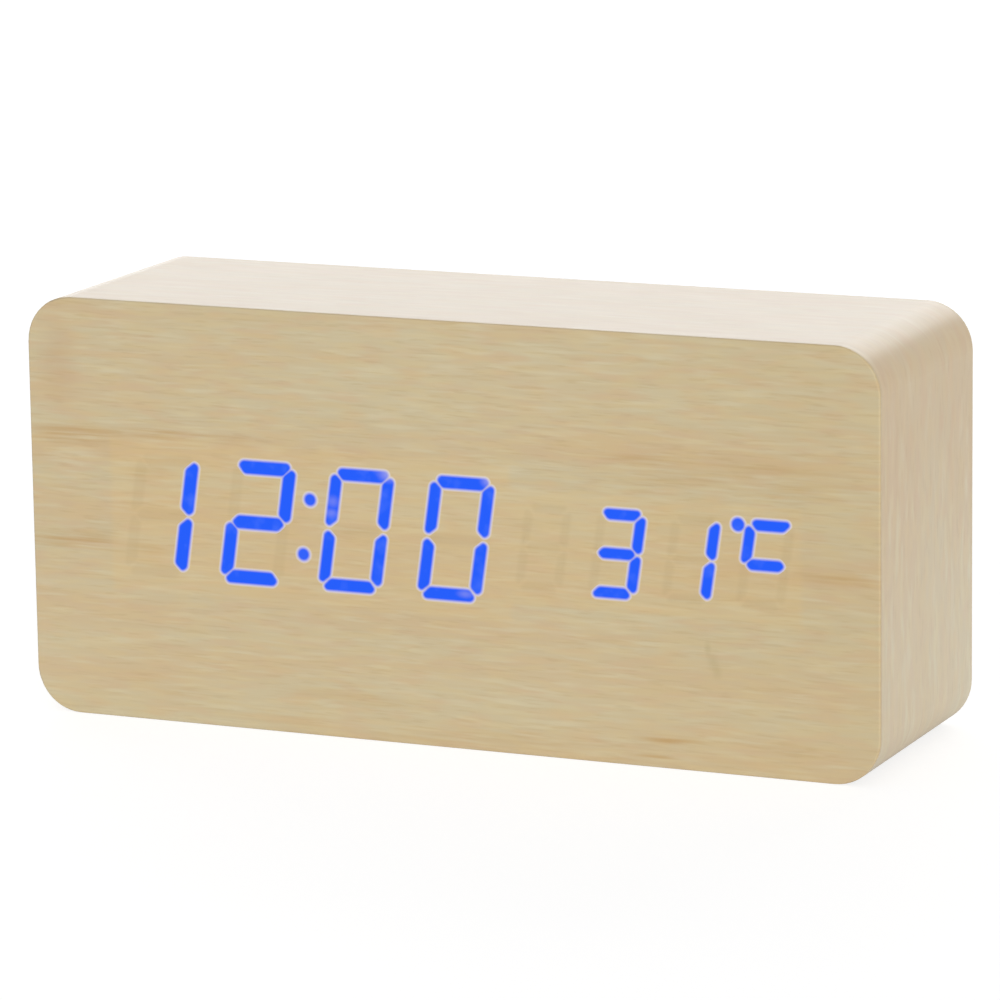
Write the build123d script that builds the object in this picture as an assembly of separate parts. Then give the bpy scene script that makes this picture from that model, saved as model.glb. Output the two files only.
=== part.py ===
from build123d import *

import os
from math import radians, sqrt, tan

# A wooden digital alarm clock: a fibreboard case in veneer, with a display that shines through its front.
# Millimetres. X runs to the right along the front, Y runs from the front to the back and Z is up.
# The origin is on the base, under the middle of the case. The case grows round what it holds.

# Veneer and case walls
FRONT_VENEER = 0.8
SIDE_VENEER = 0.5
REAR_VENEER = 0.5
SIDE_WALL = 8.5
TOP_WALL = 8.2
CASE_CORNER = 7.8
FRONT_EASE = 0.3
REAR_EASE = 0.25
POST_WIDTH = 9.0
POST_HEIGHT = 7.6
POST_GAP = 0.9
AIR_GAP = 14.0

# Time digits, measured between the middles of the strokes
TIME_DIGIT_WIDTH = 9.75
TIME_DIGIT_HEIGHT = 18.6
TIME_STROKE = 2.05
TIME_SIDE_MARGIN = 2.1
TIME_TOP_MARGIN = 2.5
TIME_DROP = 0.35
COLON_RADIUS = 1.05
COLON_RISE = 4.6
COLON_LEFT_GAP = 1.725
COLON_RIGHT_GAP = 2.125

# Temperature digits
TEMPERATURE_DIGIT_WIDTH = 6.8
TEMPERATURE_DIGIT_HEIGHT = 13.0
TEMPERATURE_STROKE = 1.65
TEMPERATURE_SIDE_MARGIN = 0.75
TEMPERATURE_TOP_MARGIN = 2.2
TEMPERATURE_DROP = 0.7
DEGREE_RADIUS = 1.05
DEGREE_DROP = 0.2
DEGREE_LEFT_GAP = 1.8
DEGREE_RIGHT_GAP = 0.33

# What both rows of digits share
DIGIT_COUNT = 4
DIGIT_SLANT = 8.5
SEGMENT_GAP = 0.28
BEVEL_SHARE = 0.24
DISPLAY_OFFSET = 0.8

# Display build
DIFFUSER = 0.3
REFLECTOR_DEPTH = 6.0
WINDOW_FIT = 0.15
LENS_DEPTH = 1.6
LENS_FIT = 0.03
LED_MARGIN = 0.3
LED_HEIGHT = 0.6
BOARD = 1.2
BOARD_BORDER = 2.0
BOARD_GAP = 2.2
BOARD_CORNER = 1.0
BOARD_SCREW_INSET = 12.0
SCREW_MARGIN = 0.375

# Rear cover
COVER_PLATE = 2.5
COVER_RECESS = 1.0
COVER_FIT = 0.2
COVER_CORNER = 4.0
COVER_LEDGE = 3.0
COVER_EASE = 0.3

# Battery bay
CELL_COUNT = 3
CELL_DIAMETER = 10.5
CELL_LENGTH = 44.5
CELL_EASE = 0.4
CELL_GAP = 0.4
CELL_REST = 0.1
CELL_ROOM = 0.6
NUB_RADIUS = 1.9
NUB_HEIGHT = 1.0
BAY_WALL = 1.5
WIRE_ROOM = 4.0
CONTACT_SHEET = 0.4
CONTACT_MARGIN = 1.75
CONTACT_FIT = 0.05
BUMP_RADIUS = 2.2
BUMP_HEIGHT = 0.6
BUMP_TIP_SHARE = 0.6
LEAF_REACH = 4.0
LEAF_MARGIN = 0.2
LEAF_TIP_SHARE = 0.25
TAIL_WIDTH = 1.6
TAIL_FIT = 0.1

# Battery door
DOOR_STEP = 0.4
DOOR_FIT = 0.25
DOOR_SEAT = 0.1
DOOR_PIN_RADIUS = 0.5
DOOR_PIN_LENGTH = 1.4
DOOR_PIN_FIT = 0.05
TONGUE_WIDTH = 10.0
TONGUE_LENGTH = 7.0
TONGUE_SLOT = 0.8
GRIP_COUNT = 3
GRIP_PITCH = 1.6
GRIP_HEIGHT = 0.35
GRIP_WIDTH = 0.7
FINGER_WIDTH = 12.0
FINGER_HEIGHT = 4.0
FINGER_DEPTH = 1.2
FINGER_ROUND_SHARE = 0.45

# Main board
MAIN_INSET = 4.0
BOARD_CLEAR = 1.0
PART_GAP = 4.7
PART_AIR = 1.0
ROW_EDGE = 5.05
BOSS_WALL = 1.65
BOSS_EDGE = 0.8

# Buttons and their switches
BUTTON_NAMES = ("down", "up", "set")
BUTTON_RADIUS = 3.5
BUTTON_FIT = 0.2
BUTTON_PROUD = 0.6
BUTTON_TRAVEL = 0.5
BUTTON_PLAY = 0.1
FLANGE = 1.0
FLANGE_LIP = 0.9
STEM_RADIUS = 1.8
STEM_LENGTH = 1.4
MARK_HEIGHT = 0.15
MARK_RADIUS = 1.5
DOT_MARK_SHARE = 0.6
SWITCH_SIDE = 6.0
SWITCH_HEIGHT = 3.5
SWITCH_CHAMFER = 0.6
SWITCH_FLOOR = 0.9
PLUNGER_RADIUS = 1.65
PLUNGER_FIT = 0.06
PLUNGER_RISE = 1.5

# Power socket
SOCKET_WIDTH = 7.6
SOCKET_HEIGHT = 2.9
SOCKET_WALL = 0.3
SOCKET_CORNER = 0.6
SOCKET_SET_BACK = 0.3
SOCKET_FIT = 0.35
SOCKET_FLOOR = 2.0
SOCKET_TIP_WIDTH = 3.7
SOCKET_TIP_HEIGHT = 0.6
SOCKET_TIP_BACK = 0.6
SOCKET_ROUND_SHARE = 0.45

# Other parts on the rear face of the main board
BUZZER_RADIUS = 6.0
BUZZER_HEIGHT = 6.0
BUZZER_HOLE = 1.0
SLOT_COUNT = 5
SLOT_PITCH = 2.2
SLOT_WIDTH = 1.1
SLOT_LENGTH = 9.0
MICROPHONE_RADIUS = 3.0
MICROPHONE_HEIGHT = 5.0
MICROPHONE_HOLE = 0.8
SENSOR_RADIUS = 1.2
SENSOR_RISE = 4.5
LEAD_RADIUS = 0.25
VENT_COUNT = 3
VENT_LENGTH = 7.0
SMALL_EASE = 0.4

# Parts on the front face of the main board and the rear face of the display board
CHIP_LENGTH = 10.3
CHIP_WIDTH = 7.5
CHIP_HEIGHT = 2.3
CHIP_STAND = 0.2
CHIP_LEGS = 8
CHIP_LEG_WIDTH = 0.42
CHIP_LEG_REACH = 1.1
CHIP_LEG_SHEET = 0.25
CRYSTAL_RADIUS = 1.0
CRYSTAL_LENGTH = 6.0
CAPACITOR_RADIUS = 2.5
CAPACITOR_HEIGHT = 7.0
CONNECTOR_LENGTH = 13.6
CONNECTOR_THICKNESS = 2.6
CONNECTOR_HEIGHT = 6.0
RIBBON_EDGE = 0.45
RIBBON = 0.9
RIBBON_LEG = 5.0
WIRE_RADIUS = 0.6
WIRE_WALL_GAP = 0.3
WIRE_CLEAR = 1.6
WIRE_LANDING = 0.8

# Screws
COVER_SCREW_RADIUS = 1.3
COVER_SCREW_LENGTH = 10.0
COVER_HEAD_RADIUS = 2.3
COVER_HEAD = 1.1
BOARD_SCREW_RADIUS = 1.0
BOARD_HEAD_RADIUS = 1.9
BOARD_HEAD = 1.2
SCREW_STOP = 2.0
SCREW_FIT = 0.05
HEAD_FIT = 0.25
HEAD_SINK = 1.2
HEAD_ROUND_SHARE = 0.4
POINT_SHARE = 0.2
CROSS_WIDTH = 0.5
CROSS_DEPTH = 0.6
CROSS_SHARE = 1.2

# The display across and up
lean_share = tan(radians(DIGIT_SLANT))
time_gap = COLON_LEFT_GAP + 2 * COLON_RADIUS + COLON_RIGHT_GAP
time_pitch = TIME_DIGIT_WIDTH + TIME_STROKE + time_gap
time_digits = (DIGIT_COUNT - 1) * time_pitch + TIME_DIGIT_WIDTH + TIME_STROKE
time_module_width = time_digits + TIME_DIGIT_HEIGHT * lean_share + 2 * TIME_SIDE_MARGIN
time_module_height = TIME_DIGIT_HEIGHT + TIME_STROKE + 2 * TIME_TOP_MARGIN
degree_gap = DEGREE_LEFT_GAP + 2 * DEGREE_RADIUS + DEGREE_RIGHT_GAP
temperature_pitch = TEMPERATURE_DIGIT_WIDTH + TEMPERATURE_STROKE + degree_gap
temperature_digits = (
    (DIGIT_COUNT - 1) * temperature_pitch + TEMPERATURE_DIGIT_WIDTH + TEMPERATURE_STROKE
)
temperature_lean = TEMPERATURE_DIGIT_HEIGHT * lean_share
temperature_module_width = temperature_digits + temperature_lean + 2 * TEMPERATURE_SIDE_MARGIN
temperature_module_height = TEMPERATURE_DIGIT_HEIGHT + TEMPERATURE_STROKE + 2 * TEMPERATURE_TOP_MARGIN
display_width = time_module_width + temperature_module_width
display_board_width = display_width + 2 * BOARD_BORDER
display_screw_edge = BOARD_HEAD_RADIUS + SCREW_MARGIN
display_ledge = TIME_DROP + 2 * display_screw_edge
display_board_height = time_module_height + 2 * display_ledge

# The main board, sized by the rows of parts on it
boss_radius = BOARD_SCREW_RADIUS + SCREW_FIT + BOSS_WALL
boss_inset = boss_radius + BOSS_EDGE
boss_column = boss_inset + boss_radius
flange_radius = BUTTON_RADIUS + BUTTON_FIT + FLANGE_LIP
vent_width = (VENT_COUNT - 1) * SLOT_PITCH + SLOT_WIDTH


def spread(widths):
    """The middles of a row of parts between the boss columns of a board, and the board width it needs."""
    middles = []
    edge = boss_column + PART_GAP
    for width in widths:
        middles.append(edge + width / 2)
        edge += width + PART_GAP
    return middles, edge + boss_column


lower_row, lower_need = spread([SOCKET_WIDTH, 2 * MICROPHONE_RADIUS, 2 * BUZZER_RADIUS, vent_width])
front_row, front_need = spread([CONNECTOR_LENGTH, CHIP_LENGTH, 2 * CRYSTAL_RADIUS, 2 * CAPACITOR_RADIUS])
button_row, button_need = spread([2 * flange_radius for name in BUTTON_NAMES])
main_width = max(lower_need, front_need, button_need)
lower_height = max(2 * BUZZER_RADIUS, SLOT_LENGTH, VENT_LENGTH)
main_height = 2 * ROW_EDGE + 2 * flange_radius + PART_GAP + lower_height
tallest_part = max(BUZZER_HEIGHT, MICROPHONE_HEIGHT, SENSOR_RISE + SENSOR_RADIUS)
button_stack = SWITCH_HEIGHT + PLUNGER_RISE + STEM_LENGTH + FLANGE + BUTTON_PLAY
standoff = max(button_stack, tallest_part + PART_AIR)

# The battery bay
door = COVER_PLATE - DOOR_STEP - DOOR_SEAT
contact_width = CELL_DIAMETER - 2 * CONTACT_MARGIN
cell_pitch = CELL_DIAMETER + CELL_GAP
bay_room = CELL_LENGTH + LEAF_REACH + BUMP_HEIGHT + 2 * CONTACT_SHEET + 2 * CONTACT_FIT
bay_length = bay_room + 2 * BAY_WALL
bay_height = CELL_COUNT * cell_pitch + CELL_GAP + 2 * BAY_WALL
bay_reach = CELL_DIAMETER + CELL_ROOM + BAY_WALL - DOOR_STEP
tail_reach = WIRE_WALL_GAP + 2 * WIRE_RADIUS

# The case round them
rear_width = MAIN_INSET + main_width + BOARD_CLEAR + tail_reach + bay_length + tail_reach + WIRE_ROOM
pocket_width = max(display_board_width + 2 * (BOARD_GAP + DISPLAY_OFFSET), rear_width)
case_width = pocket_width + 2 * (SIDE_WALL + SIDE_VENEER)
clear_height = max(display_board_height, bay_height, main_height)
pocket_height = clear_height + 2 * (POST_HEIGHT + POST_GAP)
case_height = pocket_height + 2 * (TOP_WALL + SIDE_VENEER)
mid_height = case_height / 2
chip_stack = CHIP_STAND + CHIP_HEIGHT
main_stack = CAPACITOR_HEIGHT + BOARD + standoff
pocket_depth = BOARD + chip_stack + AIR_GAP + max(main_stack, bay_reach)
front_wall = DIFFUSER + REFLECTOR_DEPTH
case_depth = FRONT_VENEER + front_wall + pocket_depth + COVER_PLATE + COVER_RECESS
board_screw_length = BOARD + min(front_wall, standoff) - SCREW_STOP

# Depths, from the front to the back
y_front = -case_depth / 2
y_block_front = y_front + FRONT_VENEER
y_reflector = y_block_front + DIFFUSER
y_wall = y_reflector + REFLECTOR_DEPTH
y_display_rear = y_wall + BOARD
y_cover_in = y_wall + pocket_depth
y_cover_out = y_cover_in + COVER_PLATE
y_back = y_cover_out + COVER_RECESS
y_block_back = y_back - REAR_VENEER
y_main_rear = y_cover_in - standoff
y_main_front = y_main_rear - BOARD
y_switch_top = y_main_rear + SWITCH_HEIGHT
y_plunger_top = y_switch_top + PLUNGER_RISE
y_door_in = y_cover_out - door
y_ledge = y_door_in - DOOR_SEAT
y_bay_floor = y_ledge - CELL_DIAMETER - CELL_ROOM
y_bay_outside = y_bay_floor - BAY_WALL
y_cell = y_bay_floor + CELL_REST + CELL_DIAMETER / 2

# Places across and up
display_left = DISPLAY_OFFSET - display_width / 2
time_x = display_left + time_module_width / 2
temperature_x = display_left + time_module_width + temperature_module_width / 2
time_z = mid_height - TIME_DROP
temperature_z = mid_height - TEMPERATURE_DROP
bay_right = pocket_width / 2 - tail_reach - WIRE_ROOM
bay_left = bay_right - bay_length
bay_x = (bay_left + bay_right) / 2
bay_in_left = bay_left + BAY_WALL
bay_in_right = bay_right - BAY_WALL
main_left = -pocket_width / 2 + MAIN_INSET
main_right = main_left + main_width
main_x = (main_left + main_right) / 2
upper_z = mid_height + main_height / 2 - ROW_EDGE - flange_radius
lower_z = mid_height - main_height / 2 + ROW_EDGE + lower_height / 2
socket_x, microphone_x, buzzer_x, sensor_x = [main_left + middle for middle in lower_row]
connector_x, controller_x, crystal_x, capacitor_x = [main_left + middle for middle in front_row]
button_places = [main_left + middle for middle in button_row]
time_driver_x = connector_x + CONNECTOR_LENGTH / 2 + PART_GAP + CHIP_LENGTH / 2
door_top = mid_height + bay_height / 2 - DOOR_FIT
door_bottom = mid_height - bay_height / 2 + DOOR_FIT
door_axis_y = y_cover_out - door / 2
door_axis_z = door_top - door / 2


def corners(x, half_width, half_height):
    """The four corners of an upright rectangle at the middle height of the case."""
    return [(x + sx * half_width, mid_height + sz * half_height) for sx in (-1, 1) for sz in (-1, 1)]


cover_screw_places = corners(0, (pocket_width - POST_WIDTH) / 2, (pocket_height - POST_HEIGHT) / 2)
display_screw_places = corners(
    DISPLAY_OFFSET,
    display_board_width / 2 - BOARD_SCREW_INSET,
    display_board_height / 2 - display_screw_edge,
)
main_screw_places = corners(main_x, main_width / 2 - boss_inset, main_height / 2 - boss_inset)


def at_depth(y):
    """The upright plane at a depth, drawn in X and Z."""
    return Plane(origin=(0, y, 0), x_dir=(1, 0, 0), z_dir=(0, -1, 0))


def prism(outline, y_from, y_to):
    """An outline in X and Z, carried from one depth to a deeper one."""
    return extrude(at_depth(y_to) * outline, y_to - y_from, dir=(0, -1, 0))


def block(x_from, x_to, y_from, y_to, z_from, z_to):
    """A box between two corners."""
    size = Box(x_to - x_from, y_to - y_from, z_to - z_from)
    return Pos((x_from + x_to) / 2, (y_from + y_to) / 2, (z_from + z_to) / 2) * size


def disc(x, z, radius, y_from, y_to):
    """A round bar along the depth."""
    return prism(Pos(x, z) * Circle(radius), y_from, y_to)


def bar_across(x, y, z, radius, length):
    """A round bar along X about a middle point."""
    return Pos(x, y, z) * Rot(0, 90, 0) * Cylinder(radius, length)


def place(part, x, y, z, towards):
    """A part drawn along +Z, set at a point with its +Z along the depth: towards is 1 for the back."""
    return Plane(origin=(x, y, z), x_dir=(1, 0, 0), z_dir=(0, towards, 0)) * part


def screw(head_radius, head, shank_radius, length):
    """A pan-head screw along +Z with its head's seat at zero, a cross recess and a pointed end."""
    top = Pos(0, 0, head / 2) * Cylinder(head_radius, head)
    top = fillet(top.edges().group_by(Axis.Z)[-1], head * HEAD_ROUND_SHARE)
    shank = Pos(0, 0, -(length - shank_radius) / 2) * Cylinder(shank_radius, length - shank_radius)
    point = Cone(shank_radius * POINT_SHARE, shank_radius, shank_radius)
    arm = Box(head_radius * CROSS_SHARE, CROSS_WIDTH, CROSS_DEPTH * 2)
    cross = Pos(0, 0, head) * (arm + Rot(0, 0, 90) * arm)
    return top + shank + Pos(0, 0, shank_radius / 2 - length) * point - cross


def case_outline(inset=0.0):
    """The case's rounded outline from the front, drawn in by an inset."""
    outline = RectangleRounded(case_width - 2 * inset, case_height - 2 * inset, CASE_CORNER - inset)
    return Pos(0, mid_height) * outline


def rebate_outline(inset=0.0):
    """The rear opening that the cover drops into, drawn in by an inset."""
    width = pocket_width + 2 * COVER_LEDGE - 2 * inset
    height = pocket_height + 2 * COVER_LEDGE - 2 * inset
    return Pos(0, mid_height) * RectangleRounded(width, height, COVER_CORNER - inset)


def time_rectangle(grow=0.0):
    """The time module's face."""
    return Pos(time_x, time_z) * Rectangle(time_module_width + 2 * grow, time_module_height + 2 * grow)


def temperature_rectangle(grow=0.0):
    """The temperature module's face."""
    width = temperature_module_width + 2 * grow
    height = temperature_module_height + 2 * grow
    return Pos(temperature_x, temperature_z) * Rectangle(width, height)


def case_block():
    """The fibreboard block: a pocket from the back, corner posts, a rebate and the display's windows."""
    shape = prism(case_outline(SIDE_VENEER), y_block_front, y_block_back)
    pocket = Pos(0, mid_height) * Rectangle(pocket_width, pocket_height)
    posts = [Pos(x, z) * Rectangle(POST_WIDTH, POST_HEIGHT) for x, z in cover_screw_places]
    shape -= prism(pocket - posts, y_wall, y_cover_in)
    shape -= prism(rebate_outline(), y_cover_in, y_block_back)
    shape -= prism(time_rectangle(WINDOW_FIT), y_block_front, y_wall)
    shape -= prism(temperature_rectangle(WINDOW_FIT), y_block_front, y_wall)
    cover_depth = COVER_SCREW_LENGTH - (COVER_PLATE - HEAD_SINK) + SCREW_FIT
    for x, z in cover_screw_places:
        shape -= disc(x, z, COVER_SCREW_RADIUS + SCREW_FIT, y_cover_in - cover_depth, y_cover_in)
    board_depth = board_screw_length - BOARD + SCREW_FIT
    for x, z in display_screw_places:
        shape -= disc(x, z, BOARD_SCREW_RADIUS + SCREW_FIT, y_wall - board_depth, y_wall)
    return shape


def front_veneer():
    """The thin wooden sheet that the light shines through, with a softened front edge."""
    sheet = prism(case_outline(), y_front, y_block_front)
    return fillet(sheet.edges().group_by(Axis.Y)[0], FRONT_EASE)


def side_veneer():
    """The veneer that wraps the block's top, sides and base."""
    return prism(case_outline() - case_outline(SIDE_VENEER), y_block_front, y_block_back)


def rear_veneer():
    """The veneer round the rear cover, with a softened back edge."""
    sheet = prism(case_outline(), y_block_back, y_back)
    sheet = fillet(sheet.edges().group_by(Axis.Y)[-1], REAR_EASE)
    return sheet - prism(rebate_outline(), y_block_back, y_back)


def segment(start, end, outward, stroke, start_open, end_open):
    """The six corners of one segment, from node to node. An open end meets a middle bar evenly."""
    along = (end - start).normalized()
    tail = (end - start).length - SEGMENT_GAP
    outer = stroke * BEVEL_SHARE
    even = stroke / 2 - outer / 4
    inner = stroke / 2 + outer / 4

    def point(distance, side):
        return start + along * distance + outward * (side * stroke / 2)

    return [
        point(SEGMENT_GAP, 0),
        point(SEGMENT_GAP + (even if start_open else outer), 1),
        point(tail - (even if end_open else outer), 1),
        point(tail, 0),
        point(tail - (even if end_open else inner), -1),
        point(SEGMENT_GAP + (even if start_open else inner), -1),
    ]


def digit_segments(width, height, stroke):
    """The seven segments of one upright digit about its middle, and the middle of each."""
    up = Vector(0, 1)
    right = Vector(1, 0)
    top_left, top_right = Vector(-width / 2, height / 2), Vector(width / 2, height / 2)
    mid_left, mid_right = Vector(-width / 2, 0), Vector(width / 2, 0)
    low_left, low_right = Vector(-width / 2, -height / 2), Vector(width / 2, -height / 2)
    runs = [
        (top_left, top_right, up, False, False),
        (top_right, mid_right, right, False, True),
        (mid_right, low_right, right, True, False),
        (low_left, low_right, -up, False, False),
        (mid_left, low_left, -right, True, False),
        (top_left, mid_left, -right, False, True),
        (mid_left, mid_right, up, True, True),
    ]
    shapes = [segment(a, b, out, stroke, a_open, b_open) for a, b, out, a_open, b_open in runs]
    return shapes, [(a + b) / 2 for a, b, *rest in runs]


def lean(point, x, z):
    """A point of an upright digit, leaned over and set at the digit's place."""
    return (x + point.X + point.Y * lean_share, z + point.Y)


def digit_row(x, z, pitch, width, height, stroke, dots):
    """The outlines of a row of digits and dots, and the place and room of the light behind each."""
    outlines = []
    lights = []
    shapes, middles = digit_segments(width, height, stroke)
    for i in range(DIGIT_COUNT):
        digit_x = x + (i - (DIGIT_COUNT - 1) / 2) * pitch
        for points, middle in zip(shapes, middles):
            outlines.append(Polygon(*[lean(point, digit_x, z) for point in points], align=None))
            lights.append((*lean(middle, digit_x, z), stroke))
    for dot_x, dot_z, radius in dots:
        dot_place = lean(Vector(dot_x, dot_z), x, z)
        outlines.append(Pos(*dot_place) * Circle(radius))
        lights.append((*dot_place, radius * sqrt(2)))
    return outlines, lights


def time_row():
    """The four time digits and the colon between the middle two."""
    colon_x = (COLON_LEFT_GAP - COLON_RIGHT_GAP) / 2
    dots = [(colon_x, side * COLON_RISE, COLON_RADIUS) for side in (1, -1)]
    return digit_row(time_x, time_z, time_pitch, TIME_DIGIT_WIDTH, TIME_DIGIT_HEIGHT, TIME_STROKE, dots)


def temperature_row():
    """The four temperature digits and the degree dot ahead of the last of them."""
    last_edge = temperature_digits / 2 - TEMPERATURE_DIGIT_WIDTH - TEMPERATURE_STROKE
    dot_x = last_edge - DEGREE_RIGHT_GAP - DEGREE_RADIUS
    dots = [(dot_x, TEMPERATURE_DIGIT_HEIGHT / 2 - DEGREE_DROP, DEGREE_RADIUS)]
    sizes = (TEMPERATURE_DIGIT_WIDTH, TEMPERATURE_DIGIT_HEIGHT, TEMPERATURE_STROKE)
    return digit_row(temperature_x, temperature_z, temperature_pitch, *sizes, dots)


def reflector(face, outlines):
    """A white block with a light well for each segment."""
    return prism(face, y_reflector, y_wall) - [prism(outline, y_reflector, y_wall) for outline in outlines]


def lenses(outlines):
    """The milky fill at the front of each light well."""
    fills = [offset(outline, -LENS_FIT) for outline in outlines]
    return Compound([prism(fill, y_reflector, y_reflector + LENS_DEPTH).solid() for fill in fills])


def leds(lights):
    """One square light chip on the board behind each segment."""
    chips = []
    for x, z, room in lights:
        side = room - 2 * LED_MARGIN
        chips.append(Pos(x, y_wall - LED_HEIGHT / 2, z) * Box(side, LED_HEIGHT, side))
    return Compound(chips)


def board(x, width, height, y_from, screw_places):
    """A circuit board with its screw holes."""
    outline = Pos(x, mid_height) * RectangleRounded(width, height, BOARD_CORNER)
    holes = [Pos(*hole) * Circle(BOARD_SCREW_RADIUS + SCREW_FIT) for hole in screw_places]
    return prism(outline - holes, y_from, y_from + BOARD)


def board_screws(places, y_seat, towards):
    """Four short screws through a circuit board."""
    one = screw(BOARD_HEAD_RADIUS, BOARD_HEAD, BOARD_SCREW_RADIUS, board_screw_length)
    return Compound([place(one, x, y_seat, z, towards).solid() for x, z in places])


def chip(x, y_face, towards):
    """A flat chip with two rows of legs, standing on a board face. Towards is 1 for the back."""
    knee = CHIP_STAND + CHIP_HEIGHT / 2
    arm = Box(CHIP_LEG_WIDTH, CHIP_WIDTH + 2 * CHIP_LEG_REACH, CHIP_LEG_SHEET)
    foot = Box(CHIP_LEG_WIDTH, CHIP_LEG_SHEET, knee)
    foot_y = CHIP_WIDTH / 2 + CHIP_LEG_REACH - CHIP_LEG_SHEET / 2
    body = Pos(0, 0, knee) * Box(CHIP_LENGTH, CHIP_WIDTH, CHIP_HEIGHT)
    for i in range(CHIP_LEGS):
        leg_x = (i - (CHIP_LEGS - 1) / 2) * CHIP_LENGTH / CHIP_LEGS
        body += Pos(leg_x, 0, knee) * arm
        for side in (-1, 1):
            body += Pos(leg_x, side * foot_y, knee / 2) * foot
    return place(body, x, y_face, mid_height, towards)


def connector(y_from):
    """A cable header on a board face."""
    half = CONNECTOR_LENGTH / 2
    rise = CONNECTOR_HEIGHT / 2
    y_to = y_from + CONNECTOR_THICKNESS
    return block(connector_x - half, connector_x + half, y_from, y_to, mid_height - rise, mid_height + rise)


def ribbon_cable():
    """The flat cable, up out of one header, over in a half circle and down into the other."""
    y_first = y_display_rear + CONNECTOR_THICKNESS / 2
    y_second = y_main_front - CONNECTOR_THICKNESS / 2
    bend = (y_second - y_first) / 2
    z_low = mid_height + CONNECTOR_HEIGHT / 2
    z_bend = z_low + RIBBON_LEG
    ring = Circle(bend + RIBBON / 2) - Circle(bend - RIBBON / 2)
    upper_half = Pos(0, bend) * Rectangle(4 * bend, 2 * bend)
    over = Pos((y_first + y_second) / 2, z_bend) * (ring & upper_half)
    legs = [Pos(y, (z_low + z_bend) / 2) * Rectangle(RIBBON, RIBBON_LEG) for y in (y_first, y_second)]
    band = Plane(origin=(connector_x, 0, 0), x_dir=(0, 1, 0), z_dir=(1, 0, 0)) * (over + legs)
    return extrude(band, CONNECTOR_LENGTH / 2 - RIBBON_EDGE, both=True)


def crystal():
    """The clock crystal's can, lying on the main board."""
    can = Cylinder(CRYSTAL_RADIUS, CRYSTAL_LENGTH)
    return Pos(crystal_x, y_main_front - CRYSTAL_RADIUS, mid_height) * can


def capacitor():
    """The supply capacitor, standing on the main board."""
    can = disc(capacitor_x, mid_height, CAPACITOR_RADIUS, y_main_front - CAPACITOR_HEIGHT, y_main_front)
    return fillet(can.edges().group_by(Axis.Y)[0], SMALL_EASE)


def buzzer():
    """The round sounder, with a sound hole and a softened rim."""
    y_top = y_main_rear + BUZZER_HEIGHT
    can = disc(buzzer_x, lower_z, BUZZER_RADIUS, y_main_rear, y_top)
    can = fillet(can.edges().group_by(Axis.Y)[-1], SMALL_EASE)
    return can - disc(buzzer_x, lower_z, BUZZER_HOLE, y_top - 2 * BUZZER_HOLE, y_top)


def microphone():
    """The sound sensor's can, with a rim round its face."""
    y_top = y_main_rear + MICROPHONE_HEIGHT
    can = disc(microphone_x, lower_z, MICROPHONE_RADIUS, y_main_rear, y_top)
    return can - disc(microphone_x, lower_z, MICROPHONE_RADIUS - SMALL_EASE, y_top - SMALL_EASE, y_top)


def temperature_sensor():
    """The temperature sensor: a bead on two leads."""
    y_bead = y_main_rear + SENSOR_RISE
    bead = Pos(sensor_x, y_bead, lower_z) * Sphere(SENSOR_RADIUS)
    lead_offset = SENSOR_RADIUS - 2 * LEAD_RADIUS
    for side in (-1, 1):
        bead += disc(sensor_x + side * lead_offset, lower_z, LEAD_RADIUS, y_main_rear, y_bead)
    return bead


def socket_outline(grow=0.0):
    """The outside of the power socket's shell, grown all round."""
    inner_height = SOCKET_HEIGHT - 2 * SOCKET_WALL
    corner = min(SOCKET_CORNER, inner_height * SOCKET_ROUND_SHARE) + SOCKET_WALL + grow
    outline = RectangleRounded(SOCKET_WIDTH + 2 * grow, SOCKET_HEIGHT + 2 * grow, corner)
    return Pos(socket_x, lower_z) * outline


def socket_shell():
    """The metal shell of the power socket, standing on the main board."""
    return prism(socket_outline() - socket_outline(-SOCKET_WALL), y_main_rear, y_cover_out - SOCKET_SET_BACK)


def socket_core():
    """The plastic core of the power socket: a floor that fills the shell and a thin tongue."""
    floor = prism(socket_outline(-SOCKET_WALL), y_main_rear, y_main_rear + SOCKET_FLOOR)
    tip = Pos(socket_x, lower_z) * Rectangle(SOCKET_TIP_WIDTH, SOCKET_TIP_HEIGHT)
    return floor + prism(tip, y_main_rear, y_cover_out - SOCKET_SET_BACK - SOCKET_TIP_BACK)


def switch_housing(x):
    """A push switch's square body with a bore for its plunger."""
    body = Pos(x, upper_z) * Rectangle(SWITCH_SIDE, SWITCH_SIDE)
    body = chamfer(body.vertices(), SWITCH_CHAMFER)
    bore = disc(x, upper_z, PLUNGER_RADIUS + PLUNGER_FIT, y_main_rear + SWITCH_FLOOR, y_switch_top)
    return prism(body, y_main_rear, y_switch_top) - bore


def plunger(x):
    """A push switch's round plunger, clear of the bore's floor by its travel."""
    y_foot = y_main_rear + SWITCH_FLOOR + BUTTON_TRAVEL + BUTTON_PLAY
    return disc(x, upper_z, PLUNGER_RADIUS, y_foot, y_plunger_top)


def button_mark(name):
    """The plain mark on a button: an arrowhead up or down, or a dot."""
    if name == "set":
        return Circle(MARK_RADIUS * DOT_MARK_SHARE)
    return RegularPolygon(MARK_RADIUS, 3, rotation=90 if name == "up" else -90)


def button(name, x):
    """A button: a cap through the cover, a flange behind it and a stem onto the plunger."""
    y_top = y_cover_out + BUTTON_PROUD
    y_flange = y_cover_in - BUTTON_PLAY
    cap = disc(x, upper_z, BUTTON_RADIUS, y_flange - FLANGE, y_top)
    cap = fillet(cap.edges().group_by(Axis.Y)[-1], SMALL_EASE)
    cap += disc(x, upper_z, flange_radius, y_flange - FLANGE, y_flange)
    cap += disc(x, upper_z, STEM_RADIUS, y_plunger_top, y_flange)
    return cap + prism(Pos(x, upper_z) * button_mark(name), y_flange, y_top + MARK_HEIGHT)


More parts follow.
